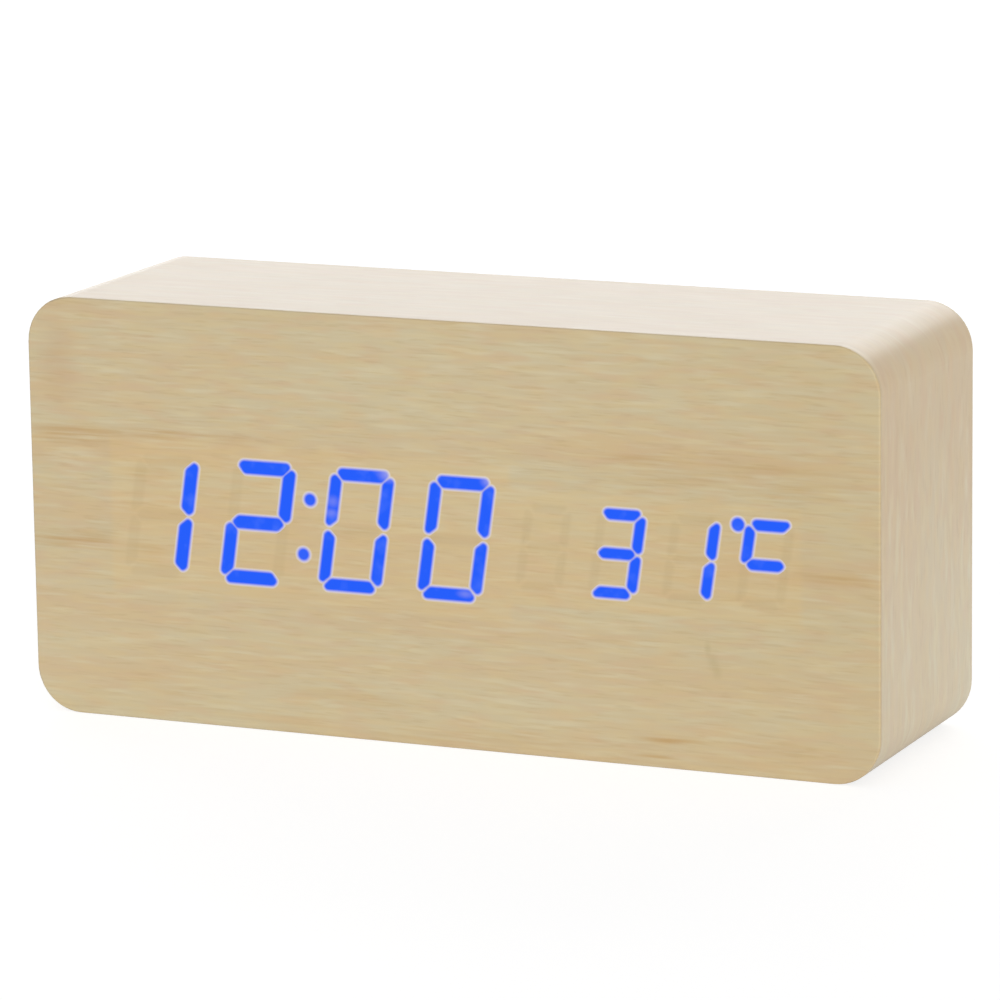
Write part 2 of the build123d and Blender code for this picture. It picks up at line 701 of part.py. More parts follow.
def cover_slots():
    """The sound slots over the buzzer and the vents over the temperature sensor."""
    rows = [(buzzer_x, SLOT_COUNT, SLOT_LENGTH), (sensor_x, VENT_COUNT, VENT_LENGTH)]
    slots = []
    for x, count, length in rows:
        outline = SlotOverall(length, SLOT_WIDTH, rotation=90)
        slots += [Pos(x + (i - (count - 1) / 2) * SLOT_PITCH, lower_z) * outline for i in range(count)]
    return slots


def finger_scoop():
    """The shallow scoop below the door that a fingertip goes into."""
    corner = min(FINGER_WIDTH, 2 * FINGER_HEIGHT) * FINGER_ROUND_SHARE
    outline = RectangleRounded(FINGER_WIDTH, 2 * FINGER_HEIGHT, corner)
    edge = mid_height - bay_height / 2
    return prism(Pos(bay_x, edge) * outline, y_cover_out - FINGER_DEPTH, y_cover_out)


def rear_cover():
    """The moulded rear cover: plate, battery bay, board bosses and the openings for what it holds."""
    shape = prism(rebate_outline(COVER_FIT), y_cover_in, y_cover_out)
    shape = chamfer(shape.edges().group_by(Axis.Y)[-1], COVER_EASE)
    bay = Pos(bay_x, mid_height) * Rectangle(bay_length, bay_height)
    room = Pos(bay_x, mid_height) * Rectangle(bay_room, bay_height - 2 * BAY_WALL)
    shape += prism(bay, y_bay_outside, y_cover_in)
    shape -= prism(bay, y_ledge, y_cover_out)
    shape -= prism(room, y_bay_floor, y_ledge)
    shape -= finger_scoop()
    pin_reach = bay_length / 2 - DOOR_FIT + DOOR_PIN_LENGTH + DOOR_PIN_FIT
    shape -= bar_across(bay_x, door_axis_y, door_axis_z, DOOR_PIN_RADIUS + DOOR_PIN_FIT, 2 * pin_reach)
    shape -= [negative_tail(TAIL_FIT), positive_tail(TAIL_FIT)]
    hole_end = y_main_rear + board_screw_length - BOARD + SCREW_FIT
    for x, z in main_screw_places:
        shape += disc(x, z, boss_radius, y_main_rear, y_cover_in)
        shape -= disc(x, z, BOARD_SCREW_RADIUS + SCREW_FIT, y_main_rear, hole_end)
    for x, z in cover_screw_places:
        shape -= disc(x, z, COVER_SCREW_RADIUS + SCREW_FIT, y_cover_in, y_cover_out)
        shape -= disc(x, z, COVER_HEAD_RADIUS + HEAD_FIT, y_cover_out - HEAD_SINK, y_cover_out)
    holes = [Pos(x, upper_z) * Circle(BUTTON_RADIUS + BUTTON_FIT) for x in button_places]
    holes.append(Pos(microphone_x, lower_z) * Circle(MICROPHONE_HOLE))
    holes.append(socket_outline(SOCKET_FIT))
    return shape - [prism(hole, y_cover_in, y_cover_out) for hole in holes + cover_slots()]


def cover_screws():
    """The four screws that hold the rear cover to the block's posts."""
    one = screw(COVER_HEAD_RADIUS, COVER_HEAD, COVER_SCREW_RADIUS, COVER_SCREW_LENGTH)
    return Compound([place(one, x, y_cover_out - HEAD_SINK, z, 1).solid() for x, z in cover_screw_places])


def battery_door():
    """The hinged door: a round top edge on two pins, a springy tongue and finger grips at the foot."""
    width = bay_length - 2 * DOOR_FIT
    left = bay_x - width / 2
    shape = block(left, left + width, y_door_in, y_cover_out, door_bottom, door_axis_z)
    shape += bar_across(bay_x, door_axis_y, door_axis_z, door / 2, width)
    shape += bar_across(bay_x, door_axis_y, door_axis_z, DOOR_PIN_RADIUS, width + 2 * DOOR_PIN_LENGTH)
    slot = SlotOverall(2 * TONGUE_LENGTH, TONGUE_SLOT, rotation=90)
    for side in (-1, 1):
        slot_x = bay_x + side * (TONGUE_WIDTH + TONGUE_SLOT) / 2
        shape -= prism(Pos(slot_x, door_bottom) * slot, y_door_in, y_cover_out)
    half = TONGUE_WIDTH / 2 - TONGUE_SLOT
    for i in range(GRIP_COUNT):
        low = door_bottom + (i + 1) * GRIP_PITCH
        grip = block(bay_x - half, bay_x + half, y_cover_out, y_cover_out + GRIP_HEIGHT, low, low + GRIP_WIDTH)
        shape += chamfer(grip.edges().group_by(Axis.Y)[-1], GRIP_HEIGHT / 2)
    return shape


def cell_z(index):
    """The height of a cell's axis, counted up from the lowest."""
    return mid_height + (index - (CELL_COUNT - 1) / 2) * cell_pitch


def nub_way(index):
    """The way a cell's nub points along X: every second cell lies the other way round."""
    return 1 if index % 2 == 0 else -1


def bay_wall(way):
    """The inner face of the bay's end wall on one side."""
    return bay_in_right if way > 0 else bay_in_left


def cell(index):
    """One battery cell, with its nub against a contact's dome."""
    way = nub_way(index)
    barrel_length = CELL_LENGTH - NUB_HEIGHT
    barrel = Cylinder(CELL_DIAMETER / 2, barrel_length)
    barrel = fillet(barrel.edges().filter_by(GeomType.CIRCLE), CELL_EASE)
    nub = Pos(0, 0, CELL_LENGTH / 2) * Cylinder(NUB_RADIUS, NUB_HEIGHT)
    tip = bay_wall(way) - way * (CONTACT_SHEET + BUMP_HEIGHT + CONTACT_FIT)
    middle = tip - way * (NUB_HEIGHT + barrel_length / 2)
    return Pos(middle, y_cell, cell_z(index)) * Rot(0, 90 * way, 0) * (barrel + nub)


def contact_sheet(way, low, high):
    """The sheet of a contact on an end wall, from one cell's height to another's."""
    wall = bay_wall(way)
    x_from, x_to = sorted((wall, wall - way * CONTACT_SHEET))
    half = contact_width / 2
    return block(x_from, x_to, y_cell - half, y_cell + half, cell_z(low) - half, cell_z(high) + half)


def contact_bump(way, index):
    """The dome that meets a cell's nub."""
    dome = Cone(BUMP_RADIUS, BUMP_RADIUS * BUMP_TIP_SHARE, BUMP_HEIGHT)
    x = bay_wall(way) - way * (CONTACT_SHEET + BUMP_HEIGHT / 2)
    return Pos(x, y_cell, cell_z(index)) * Rot(0, -90 * way, 0) * dome


def contact_leaf(way, index):
    """The folded leaf spring that meets a cell's flat end."""
    half = contact_width / 2 - LEAF_MARGIN
    tip = half * LEAF_TIP_SHARE
    outside = Polygon((0, -half), (LEAF_REACH, -tip), (LEAF_REACH, tip), (0, half), align=None)
    leaf = extrude(outside - offset(outside, -CONTACT_SHEET), contact_width / 2, both=True)
    if way > 0:
        leaf = Rot(0, 180, 0) * leaf
    return Pos(bay_wall(way) - way * CONTACT_SHEET, y_cell, cell_z(index)) * leaf


def tail(way, index, grow):
    """The strip that takes a contact out through an end wall of the bay."""
    wall = bay_wall(way)
    x_from, x_to = sorted((wall, wall + way * (BAY_WALL + tail_reach + grow)))
    half = TAIL_WIDTH / 2 + grow
    thin = CONTACT_SHEET / 2 + grow
    return block(x_from, x_to, y_cell - half, y_cell + half, cell_z(index) - thin, cell_z(index) + thin)


last_cell = CELL_COUNT - 1
positive_way = nub_way(last_cell)
negative_way = -nub_way(0)


def negative_tail(grow=0.0):
    """The tail of the negative contact, at the lowest cell."""
    return tail(negative_way, 0, grow)


def positive_tail(grow=0.0):
    """The tail of the positive contact, at the highest cell."""
    return tail(positive_way, last_cell, grow)


def negative_contact():
    """The contact at the flat end of the lowest cell."""
    return contact_sheet(negative_way, 0, 0) + contact_leaf(negative_way, 0) + negative_tail()


def positive_contact():
    """The contact at the nub of the highest cell."""
    sheet = contact_sheet(positive_way, last_cell, last_cell)
    return sheet + contact_bump(positive_way, last_cell) + positive_tail()


def link_contact(low):
    """A contact that joins two cells: a dome for the nub of one and a leaf for the flat end of the next."""
    way = nub_way(low)
    return contact_sheet(way, low, low + 1) + contact_bump(way, low) + contact_leaf(way, low + 1)


def wire(way, index):
    """A wire from a contact's tail, forward past the bay and back onto the front of the main board."""
    start_x = bay_wall(way) + way * (BAY_WALL + WIRE_WALL_GAP + WIRE_RADIUS)
    end_x = main_right - boss_column - WIRE_LANDING
    y_low = min(y_bay_outside, y_main_front) - WIRE_CLEAR
    z = cell_z(index)
    points = [
        (start_x, y_cell - TAIL_WIDTH / 2, z),
        (start_x, y_low, z),
        (end_x, y_low, z),
        (end_x, y_main_front, z),
    ]
    path = FilletPolyline(*points, radius=WIRE_CLEAR)
    section = Plane(origin=path @ 0, z_dir=path % 0) * Circle(WIRE_RADIUS)
    return sweep(section, path=path)


def build():
    """Every piece of the clock by name."""
    time_outlines, time_lights = time_row()
    temperature_outlines, temperature_lights = temperature_row()
    display_size = (DISPLAY_OFFSET, display_board_width, display_board_height)
    pieces = {
        "case_block": case_block(),
        "front_veneer": front_veneer(),
        "side_veneer": side_veneer(),
        "rear_veneer": rear_veneer(),
        "time_diffuser": prism(time_rectangle(), y_block_front, y_reflector),
        "temperature_diffuser": prism(temperature_rectangle(), y_block_front, y_reflector),
        "time_reflector": reflector(time_rectangle(), time_outlines),
        "temperature_reflector": reflector(temperature_rectangle(), temperature_outlines),
        "time_segment_lenses": lenses(time_outlines),
        "temperature_segment_lenses": lenses(temperature_outlines),
        "time_leds": leds(time_lights),
        "temperature_leds": leds(temperature_lights),
        "display_board": board(*display_size, y_wall, display_screw_places),
        "display_board_screws": board_screws(display_screw_places, y_display_rear, 1),
        "time_driver_chip": chip(time_driver_x, y_display_rear, 1),
        "temperature_driver_chip": chip(temperature_x, y_display_rear, 1),
        "display_header": connector(y_display_rear),
        "ribbon_cable": ribbon_cable(),
        "main_header": connector(y_main_front - CONNECTOR_THICKNESS),
        "main_board": board(main_x, main_width, main_height, y_main_front, main_screw_places),
        "main_board_screws": board_screws(main_screw_places, y_main_front, -1),
        "controller_chip": chip(controller_x, y_main_front, -1),
        "clock_crystal": crystal(),
        "supply_capacitor": capacitor(),
        "buzzer": buzzer(),
        "microphone": microphone(),
        "temperature_sensor": temperature_sensor(),
        "power_socket_shell": socket_shell(),
        "power_socket_core": socket_core(),
        "rear_cover": rear_cover(),
        "rear_cover_screws": cover_screws(),
        "battery_door": battery_door(),
        "negative_contact": negative_contact(),
        "positive_contact": positive_contact(),
        "negative_wire": wire(negative_way, 0),
        "positive_wire": wire(positive_way, last_cell),
    }
    for i in range(CELL_COUNT):
        pieces[f"battery_cell_{i + 1}"] = cell(i)
    for i in range(last_cell):
        pieces[f"cell_link_{i + 1}"] = link_contact(i)
    for name, x in zip(BUTTON_NAMES, button_places):
        pieces[f"{name}_switch"] = switch_housing(x)
        pieces[f"{name}_plunger"] = plunger(x)
        pieces[f"{name}_button"] = button(name, x)
    return pieces


os.makedirs("parts", exist_ok=True)
for name, piece in build().items():
    export_step(piece, f"parts/{name}.step")
print(f"case {case_width:.2f} x {case_depth:.2f} x {case_height:.2f} mm")
print(f"door hinge at {bay_x:.3f}, {door_axis_y:.3f}, {door_axis_z:.3f}")
print("buttons at", [round(x, 3) for x in button_places], f"height {upper_z:.3f}")
print(f"socket at {socket_x:.3f}, {y_cover_out:.3f}, {lower_z:.3f}")
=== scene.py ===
import math

import bpy
import numpy as np
from mathutils import Matrix, Vector


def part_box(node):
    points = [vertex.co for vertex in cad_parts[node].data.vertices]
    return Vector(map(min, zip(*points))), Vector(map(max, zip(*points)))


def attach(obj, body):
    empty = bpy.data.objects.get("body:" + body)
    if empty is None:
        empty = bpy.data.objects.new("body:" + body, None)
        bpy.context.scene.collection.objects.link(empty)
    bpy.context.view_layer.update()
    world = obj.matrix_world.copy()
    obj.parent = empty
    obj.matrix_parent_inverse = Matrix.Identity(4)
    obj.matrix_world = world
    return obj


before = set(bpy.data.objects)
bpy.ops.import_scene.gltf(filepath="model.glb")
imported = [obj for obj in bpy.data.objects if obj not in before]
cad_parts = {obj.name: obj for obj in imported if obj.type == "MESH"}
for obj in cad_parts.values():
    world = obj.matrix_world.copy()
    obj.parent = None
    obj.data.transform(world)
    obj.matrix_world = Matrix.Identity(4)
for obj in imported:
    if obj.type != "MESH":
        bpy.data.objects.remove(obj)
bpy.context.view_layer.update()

# A wooden digital alarm clock: lacquered veneer over fibreboard, and a display that shines through it.
# Sizes here are in millimetres. Meshes and shaders are in metres.
MM = 0.001

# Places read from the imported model: the front face, and the middle of each display module
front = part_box("front_veneer")[0].y / MM
time_middle = sum(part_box("time_reflector"), Vector()) / 2 / MM
temperature_middle = sum(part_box("temperature_reflector"), Vector()) / 2 / MM

# Camera, fitted to the outline of the clock. Angles are in degrees.
CAMERA_AZIMUTH = 23.899
CAMERA_ELEVATION = 11.784
CAMERA_ROLL = -0.808
CAMERA_DISTANCE = 941.98
CAMERA_TARGET = (0.422, 0.0, 36.859)
FOCAL_PIXELS = 5714.34
IMAGE_PIXELS = 1000
SENSOR_WIDTH = 36.0
CLIP_END = 100000.0

# Studio: the floor's paint as a light on the clock, and its paint and own light as it is seen. The surround
# has one strength as a light and another as it is seen.
FLOOR_HALF = 4000.0
FLOOR_DROP = 0.02
FLOOR_PAINT = "E6E6E6"
FLOOR_SEEN_PAINT = "AAAAAA"
FLOOR_SEEN_LIGHT = 0.78
SURROUND_COLOUR = "FFFFFF"
SURROUND_LIGHT = 0.38
SURROUND_SEEN = 1.0
# Each lamp's place, width, height and power in watts, and whether the lacquer mirrors it
LAMP_AIM = (0.0, 0.0, 35.0)
LAMPS = (
    ("front_softbox", (2645.0, -3640.0, 705.0), 4500.0, 1350.0, 160.0, False),
    ("rear_softbox", (-2645.0, 3640.0, 705.0), 4500.0, 1350.0, 112.0, False),
    ("sheen_softbox", (-895.0, 1326.0, 580.0), 2780.0, 1200.0, 6.6, True),
    ("corner_softbox", (-50.0, 1988.0, 1150.0), 1100.0, 1020.0, 3.9, True),
)

# Digits, measured between the middles of the strokes. The upright bars stand inward by the inset, and the
# upper two are higher by the rise. The shift moves the row along the module.
TIME_DIGITS = {
    "width": 9.75,
    "height": 18.5,
    "inset": 0.23,
    "rise": 0.22,
    "pitch": 17.75,
    "shift": -0.18,
}
TEMPERATURE_DIGITS = {
    "width": 6.8,
    "height": 12.85,
    "inset": 0.05,
    "rise": 0.0,
    "pitch": 12.68,
    "shift": -0.09,
}
# The bars that are lit in each digit, and its own stroke and gap, because dim ones look thinner
SEGMENT_LETTERS = "abcdefg"
TIME_LIT = ("bc", "abged", "abcdef", "abcdef")
TEMPERATURE_LIT = ("", "abgcd", "bc", "afg")
TIME_STROKES = ((2.04, 0.28), (1.97, 0.28), (1.74, 0.4), (1.76, 0.4))
TEMPERATURE_STROKES = ((1.52, 0.28),) * len(TEMPERATURE_LIT)
DIGIT_SLANT = 8.5
# A bar's end: where its tip lies across the half stroke, and its bevels in strokes
TIP_SHARE = 0.3
OUTER_BEVEL = 0.24
INNER_BEVEL = 0.56
EVEN_BEVEL = 0.44
# A rounded corner: how far it reaches along each side, its most as a share of that side, and its points
CORNER_REACH = 0.42
CORNER_LIMIT = 0.45
CORNER_STEPS = 5
# Dots, placed from the middle of their module
COLON_PLACES = ((-0.2, 4.6), (-0.2, -4.6))
DEGREE_PLACES = ((13.415, 6.3),)
DOT_RADIUS = 0.95
DOT_STEPS = 32

# A mark on the veneer: how far in it is full, how far out it fades away, and how proud it is in its middle.
# Its rim goes into the veneer by the depth.
LIT_MARK = {"inset": 0.2, "spread": 0.65, "rise": 0.02}
UNLIT_MARK = {"inset": 0.3, "spread": 0.35, "rise": 0.008}
MARK_DEPTH = 0.05
FULL_VALUE = 1.0
COLON_VALUE = 0.86

# Sockets of the colour mix node
MIX_FACTOR = 0
MIX_UNDER = 6
MIX_OVER = 7
MIX_COLOUR = 2

# The sRGB curve
SRGB_KNEE = 0.04045
SRGB_SLOPE = 12.92
SRGB_OFFSET = 0.055
SRGB_POWER = 2.4
FULL_LEVEL = 255

# How many finer layers a noise has where nothing else is said
NOISE_DETAIL = 2.0


def linear(code):
    """An sRGB hex colour as linear red, green and blue with full alpha: the sRGB curve undone."""
    levels = np.array([int(code[i : i + 2], 16) for i in (0, 2, 4)]) / FULL_LEVEL
    curve = ((levels + SRGB_OFFSET) / (1 + SRGB_OFFSET)) ** SRGB_POWER
    return (*np.where(levels <= SRGB_KNEE, levels / SRGB_SLOPE, curve).tolist(), 1.0)


def add(tree, kind, inputs, **settings):
    """Adds one node with its settings. Each input is a value, or another node's output to link from."""
    made = tree.nodes.new("ShaderNode" + kind)
    for name, value in settings.items():
        setattr(made, name, value)
    for key, value in inputs.items():
        if isinstance(value, bpy.types.NodeSocket):
            tree.links.new(value, made.inputs[key])
        else:
            made.inputs[key].default_value = value
    return made


def surface(name, **plain):
    """A new material with its tree, shader and Object coordinates. Plain values go on the shader."""
    made = bpy.data.materials.new(name)
    made.use_nodes = True
    tree = made.node_tree
    shader = tree.nodes["Principled BSDF"]
    for socket, value in plain.items():
        shader.inputs[socket.replace("_", " ")].default_value = value
    return made, tree, shader, add(tree, "TexCoord", {}).outputs["Object"]


def pattern(tree, place, sizes, low, high, most=1.0, detail=NOISE_DETAIL):
    """Random marks of these sizes along X, Y and Z: noise stretched to them, 0 at low and most at high."""
    scale = [1 / (size * MM) for size in sizes]
    spread = add(tree, "Mapping", {"Vector": place, "Scale": scale}).outputs["Vector"]
    cloud = add(tree, "TexNoise", {"Vector": spread, "Scale": 1.0, "Detail": detail}).outputs[0]
    levels = {"Value": cloud, "From Min": low, "From Max": high, "To Max": most}
    return add(tree, "MapRange", levels).outputs["Result"]


def ellipse(tree, place, x, z, half_width, half_height, strength, core):
    """A soft ellipse in X and Z: the length of the place over the half sizes, faded from 1 in to core."""
    scale = (1 / (half_width * MM), 0, 1 / (half_height * MM))
    shift = (-x / half_width, 0, -z / half_height)
    spread = add(tree, "Mapping", {"Vector": place, "Location": shift, "Scale": scale}).outputs["Vector"]
    away = add(tree, "VectorMath", {0: spread}, operation="LENGTH").outputs["Value"]
    fade = {"Value": away, "From Min": 1.0, "From Max": core, "To Max": strength}
    return add(tree, "MapRange", fade, interpolation_type="SMOOTHSTEP").outputs["Result"]


def strongest(tree, place, rows, core):
    """The strongest of soft ellipses. A row is the middle across and up, the half sizes and strength."""
    total = 0.0
    for row in rows:
        mask = ellipse(tree, place, *row, core)
        total = add(tree, "Math", {0: total, 1: mask}, operation="MAXIMUM").outputs[0]
    return total


def ramp(tree, place, axis, start, end, most):
    """A factor that goes from 0 at one place along an axis to most at another."""
    along = add(tree, "SeparateXYZ", {0: place}).outputs[axis]
    levels = {"Value": along, "From Min": start * MM, "From Max": end * MM, "To Max": most}
    return add(tree, "MapRange", levels, interpolation_type="SMOOTHSTEP").outputs["Result"]


def beyond(tree, place, axis, middle, distance):
    """1 where a coordinate is further than this distance from its middle, and 0 nearer."""
    along = add(tree, "SeparateXYZ", {0: place}).outputs[axis]
    away = add(tree, "Math", {0: along, 1: middle * MM}, operation="SUBTRACT").outputs[0]
    away = add(tree, "Math", {0: away}, operation="ABSOLUTE").outputs[0]
    return add(tree, "Math", {0: away, 1: distance * MM}, operation="GREATER_THAN").outputs[0]


def mottled(tree, under, layers):
    """A colour with layers laid over it in turn, each a factor and a colour."""
    colour = linear(under)
    for factor, code in layers:
        inputs = {MIX_FACTOR: factor, MIX_UNDER: colour, MIX_OVER: linear(code)}
        colour = add(tree, "Mix", inputs, data_type="RGBA").outputs[MIX_COLOUR]
    return colour


# Outlines of the display

def digit_outlines(digits, stroke, gap):
    """Seven bars of six corners: from node to node less a gap, as wide as the stroke, with bevelled ends.

    The bars go from a to g. The tips of the six outer ones lie towards the outside. The middle one is even.
    """
    x, z = digits["width"] / 2, digits["height"] / 2
    upright, rise = x - digits["inset"], digits["rise"]
    left, right, top = -upright, upright, z + rise
    starts = np.array([(-x, z), (right, top), (right, 0), (-x, -z), (left, 0), (left, top), (-x, 0)])
    ends = np.array([(x, z), (right, rise), (right, -z), (x, -z), (left, -z), (left, rise), (x, 0)])
    outward = np.array([(0, 1), (1, 0), (1, 0), (0, -1), (-1, 0), (-1, 0), (0, 1)])
    even = np.array([False, False, False, False, False, False, True])
    length = np.linalg.norm(ends - starts, axis=1)
    along = (ends - starts) / length[:, None]
    outer = np.where(even, EVEN_BEVEL, OUTER_BEVEL) * stroke
    inner = np.where(even, EVEN_BEVEL, INNER_BEVEL) * stroke
    tip = np.where(even, 0, TIP_SHARE)
    edge = np.ones(len(length))
    head = gap * edge
    tail = length - gap
    distances = np.stack([head, head + outer, tail - outer, tail, tail - inner, head + inner], axis=1)
    sides = np.stack([tip, edge, edge, tip, -edge, -edge], axis=1) * stroke / 2
    return starts[:, None] + along[:, None] * distances[..., None] + outward[:, None] * sides[..., None]


def leaned(points, middle):
    """Points of upright digits about a module's middle, each moved right by its height times the slant."""
    lean = np.tan(np.radians(DIGIT_SLANT))
    moved = points + points[..., 1:] * np.array([lean, 0])
    return moved + np.array([middle.x, middle.z])


def rounded(corners):
    """Each corner replaced by a parabola from a point before it to one after it, pulled to the corner."""
    back = np.roll(corners, 1, axis=1) - corners
    ahead = np.roll(corners, -1, axis=1) - corners
    back_length = np.linalg.norm(back, axis=2, keepdims=True)
    ahead_length = np.linalg.norm(ahead, axis=2, keepdims=True)
    first = corners + back * np.minimum(CORNER_REACH / back_length, CORNER_LIMIT)
    last = corners + ahead * np.minimum(CORNER_REACH / ahead_length, CORNER_LIMIT)
    t = np.linspace(0, 1, CORNER_STEPS)[:, None]
    ends = (1 - t) ** 2 * first[:, :, None] + t**2 * last[:, :, None]
    curve = ends + 2 * t * (1 - t) * corners[:, :, None]
    return curve.reshape(len(corners), -1, 2)


def counter_clockwise(outlines):
    """Outlines turned to run counter-clockwise: those with a negative area are reversed."""
    following = np.roll(outlines, -1, axis=1)
    area = np.sum(outlines[..., 0] * following[..., 1] - outlines[..., 1] * following[..., 0], axis=1)
    return np.where((area > 0)[:, None, None], outlines, outlines[:, ::-1])


def digit_row(digits, strokes, lit, middle):
    """The lit and the unlit bars of a row of digits, a pitch apart about the module's middle."""
    bars = np.stack([digit_outlines(digits, stroke, gap) for stroke, gap in strokes])
    columns = np.arange(len(lit)) - (len(lit) - 1) / 2
    shift = np.stack([columns * digits["pitch"] + digits["shift"], np.zeros(len(lit))], axis=1)
    shown = np.array([[letter in word for letter in SEGMENT_LETTERS] for word in lit])
    leant = leaned(bars, middle) + shift[:, None, None]
    return counter_clockwise(rounded(leant[shown])), counter_clockwise(rounded(leant[~shown]))


def dots(places, middle):
    """Circles about points of a module, leaned over with its digits."""
    angle = np.linspace(0, 2 * np.pi, DOT_STEPS, endpoint=False)
    ring = DOT_RADIUS * np.stack([np.cos(angle), np.sin(angle)], axis=1)
    return leaned(np.array(places)[:, None], middle) + ring


def display_marks(name, outlines, mark, attribute, full, finish):
    """Closed flat marks: each outline, stepped outward and back along a profile, joined row to row.

    A row of the profile is the step outward, the height above the veneer and the attribute's value, which
    is full inside the outline and fades to 0 at the spread.
    """
    profile = (
        (-mark["inset"], mark["rise"], full),
        (mark["spread"], 0.0, 0.0),
        (mark["spread"], -MARK_DEPTH, 0.0),
    )
    count, points = outlines.shape[:2]
    tangent = np.roll(outlines, -1, axis=1) - np.roll(outlines, 1, axis=1)
    normal = np.stack([tangent[..., 1], -tangent[..., 0]], axis=2)
    normal /= np.linalg.norm(normal, axis=2, keepdims=True)
    step, height, value = np.array(profile).T
    rows = len(step)
    flat = outlines[:, None] + normal[:, None] * step[:, None, None]
    depth = np.broadcast_to((front - height)[:, None, None], (count, rows, points, 1))
    vertices = np.concatenate([flat[..., :1], depth, flat[..., 1:]], axis=3) * MM
    index = np.arange(count * rows * points).reshape(count, rows, points)
    near, far = index[:, :-1], index[:, 1:]
    skirts = np.stack([near, far, np.roll(far, -1, axis=2), np.roll(near, -1, axis=2)], axis=-1)
    caps = np.concatenate([index[:, 0], index[:, -1, ::-1]])
    mesh = bpy.data.meshes.new(name)
    mesh.from_pydata(vertices.reshape(-1, 3).tolist(), [], skirts.reshape(-1, 4).tolist() + caps.tolist())
    values = np.broadcast_to(value[:, None], (count, rows, points))
    mesh.attributes.new(attribute, "FLOAT", "POINT").data.foreach_set("value", values.ravel())
    mesh.materials.append(finish)
    piece = bpy.data.objects.new(name, mesh)
    bpy.context.scene.collection.objects.link(piece)
    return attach(piece, "case")


# Wood

# Satin lacquer, and the fine sheen that the fibres' ends give at a low angle
LACQUER = {"Roughness": 0.6, "Specular_IOR_Level": 0.1, "Coat_Weight": 0.9, "Coat_Roughness": 0.3}
FIBRE_SHEEN = {"Sheen_Weight": 0.2, "Sheen_Roughness": 0.4}
VENEER = "CABC99"
# Which of the axes X, Y and Z the grain runs along
GRAIN_ALONG_FRONT = (True, True, False)
GRAIN_ROUND_CASE = (True, False, True)
# How far the marks are drawn out along the grain and across it, and their contrast. The side's marks are
# drawn wider and stronger, so that they show at the low angle.
FRONT_GRAIN = (1.0, 1.0, 1.6)
SIDE_GRAIN = (0.9, 2.0, 2.8)
# Slow waves that bend the grain
WAVE_LENGTH = 40.0
WAVE_WIDTH = 9.0
WAVE_RISE = 0.9
# Fibres: sizes, the noise levels where one starts and is full, colour and relief
FIBRE_LENGTH = 15.0
FIBRE_WIDTH = 0.7
FIBRE_LEVELS = (0.36, 0.7)
FIBRE_STRENGTH = 0.24
FIBRE_COLOUR = "BFA474"
FIBRE_BUMP = 0.1
FIBRE_DEPTH = 0.03
# Other marks: length, width, the noise levels where one starts and is full, strength and colour. Real pores
# are about 0.1 mm wide. They are drawn wider here, so that they show.
GRAIN_MARKS = {
    "bands": (70.0, 6.0, 0.42, 0.7, 0.5, "CAB088"),
    "blotches": (7.0, 1.7, 0.48, 0.68, 0.34, "CBAF8A"),
    "flecks": (8.0, 0.8, 0.52, 0.75, 0.35, "D2C6A4"),
    "golden_tone": (5.0, 0.9, 0.4, 0.66, 0.13, "D6BE84"),
    "pores": (4.0, 0.36, 0.56, 0.74, 0.12, "AE9264"),
}
GRAIN_DETAIL = 0.8

# Warmer streaks in the front sheet: middle across and up, half length, half height and strength
STREAKS = (
    (-66.0, 48.2, 13.0, 2.6, 1.0),
    (-52.0, 49.3, 9.0, 1.8, 0.9),
    (-40.0, 48.9, 14.0, 1.2, 0.7),
    (-54.0, 42.3, 8.0, 1.7, 0.4),
    (-67.0, 30.2, 12.0, 2.6, 1.0),
    (-54.0, 30.0, 9.0, 1.5, 0.7),
    (-57.0, 7.6, 7.5, 1.2, 0.6),
    (-48.0, 5.7, 7.0, 1.3, 0.5),
    (-18.0, 7.2, 19.0, 1.8, 0.4),
    (0.0, 2.5, 90.0, 3.5, 0.3),
    (40.0, 5.2, 9.0, 1.2, 1.0),
    (37.0, 2.3, 6.0, 1.0, 0.8),
    (62.0, 5.3, 12.0, 1.3, 0.7),
    (36.0, 50.6, 12.0, 1.5, 0.7),
    (57.0, 50.5, 18.0, 1.8, 0.5),
    (35.0, 46.9, 13.0, 1.3, 0.7),
    (62.0, 47.6, 12.0, 1.5, 0.55),
    (54.0, 49.0, 36.0, 5.0, 0.3),
    (68.0, 33.6, 10.0, 1.6, 0.6),
)
STREAK_CORE = 0.08
STREAK_COLOUR = "BB9863"
# Dashes along the grain that break the streaks up
DASH_SIZES = (18.0, 18.0, 0.8)
DASH_LEVELS = (0.35, 0.65)
# A reddish stain at the left edge and a dull smudge at the lower right, in the streaks' terms
STAIN = (-69.5, 60.5, 5.5, 12.0, 0.28)
STAIN_COLOUR = "B88E6C"
SMUDGES = (
    (45.9, 20.2, 0.9, 2.0, 0.3),
    (46.8, 18.2, 1.5, 2.2, 0.3),
    (47.5, 16.6, 1.3, 1.8, 0.3),
)
SMUDGE_COLOUR = "A8976B"
# An ellipse with this core fades all the way in to its middle
SOFT_CORE = 0.0
# The warmer tint of the sheet over a display module, and how soft its edge is
MODULES = ("time_diffuser", "temperature_diffuser")
MODULE_TINT = 0.16
MODULE_COLOUR = "E4BE78"
MODULE_SOFT_EDGE = 0.8
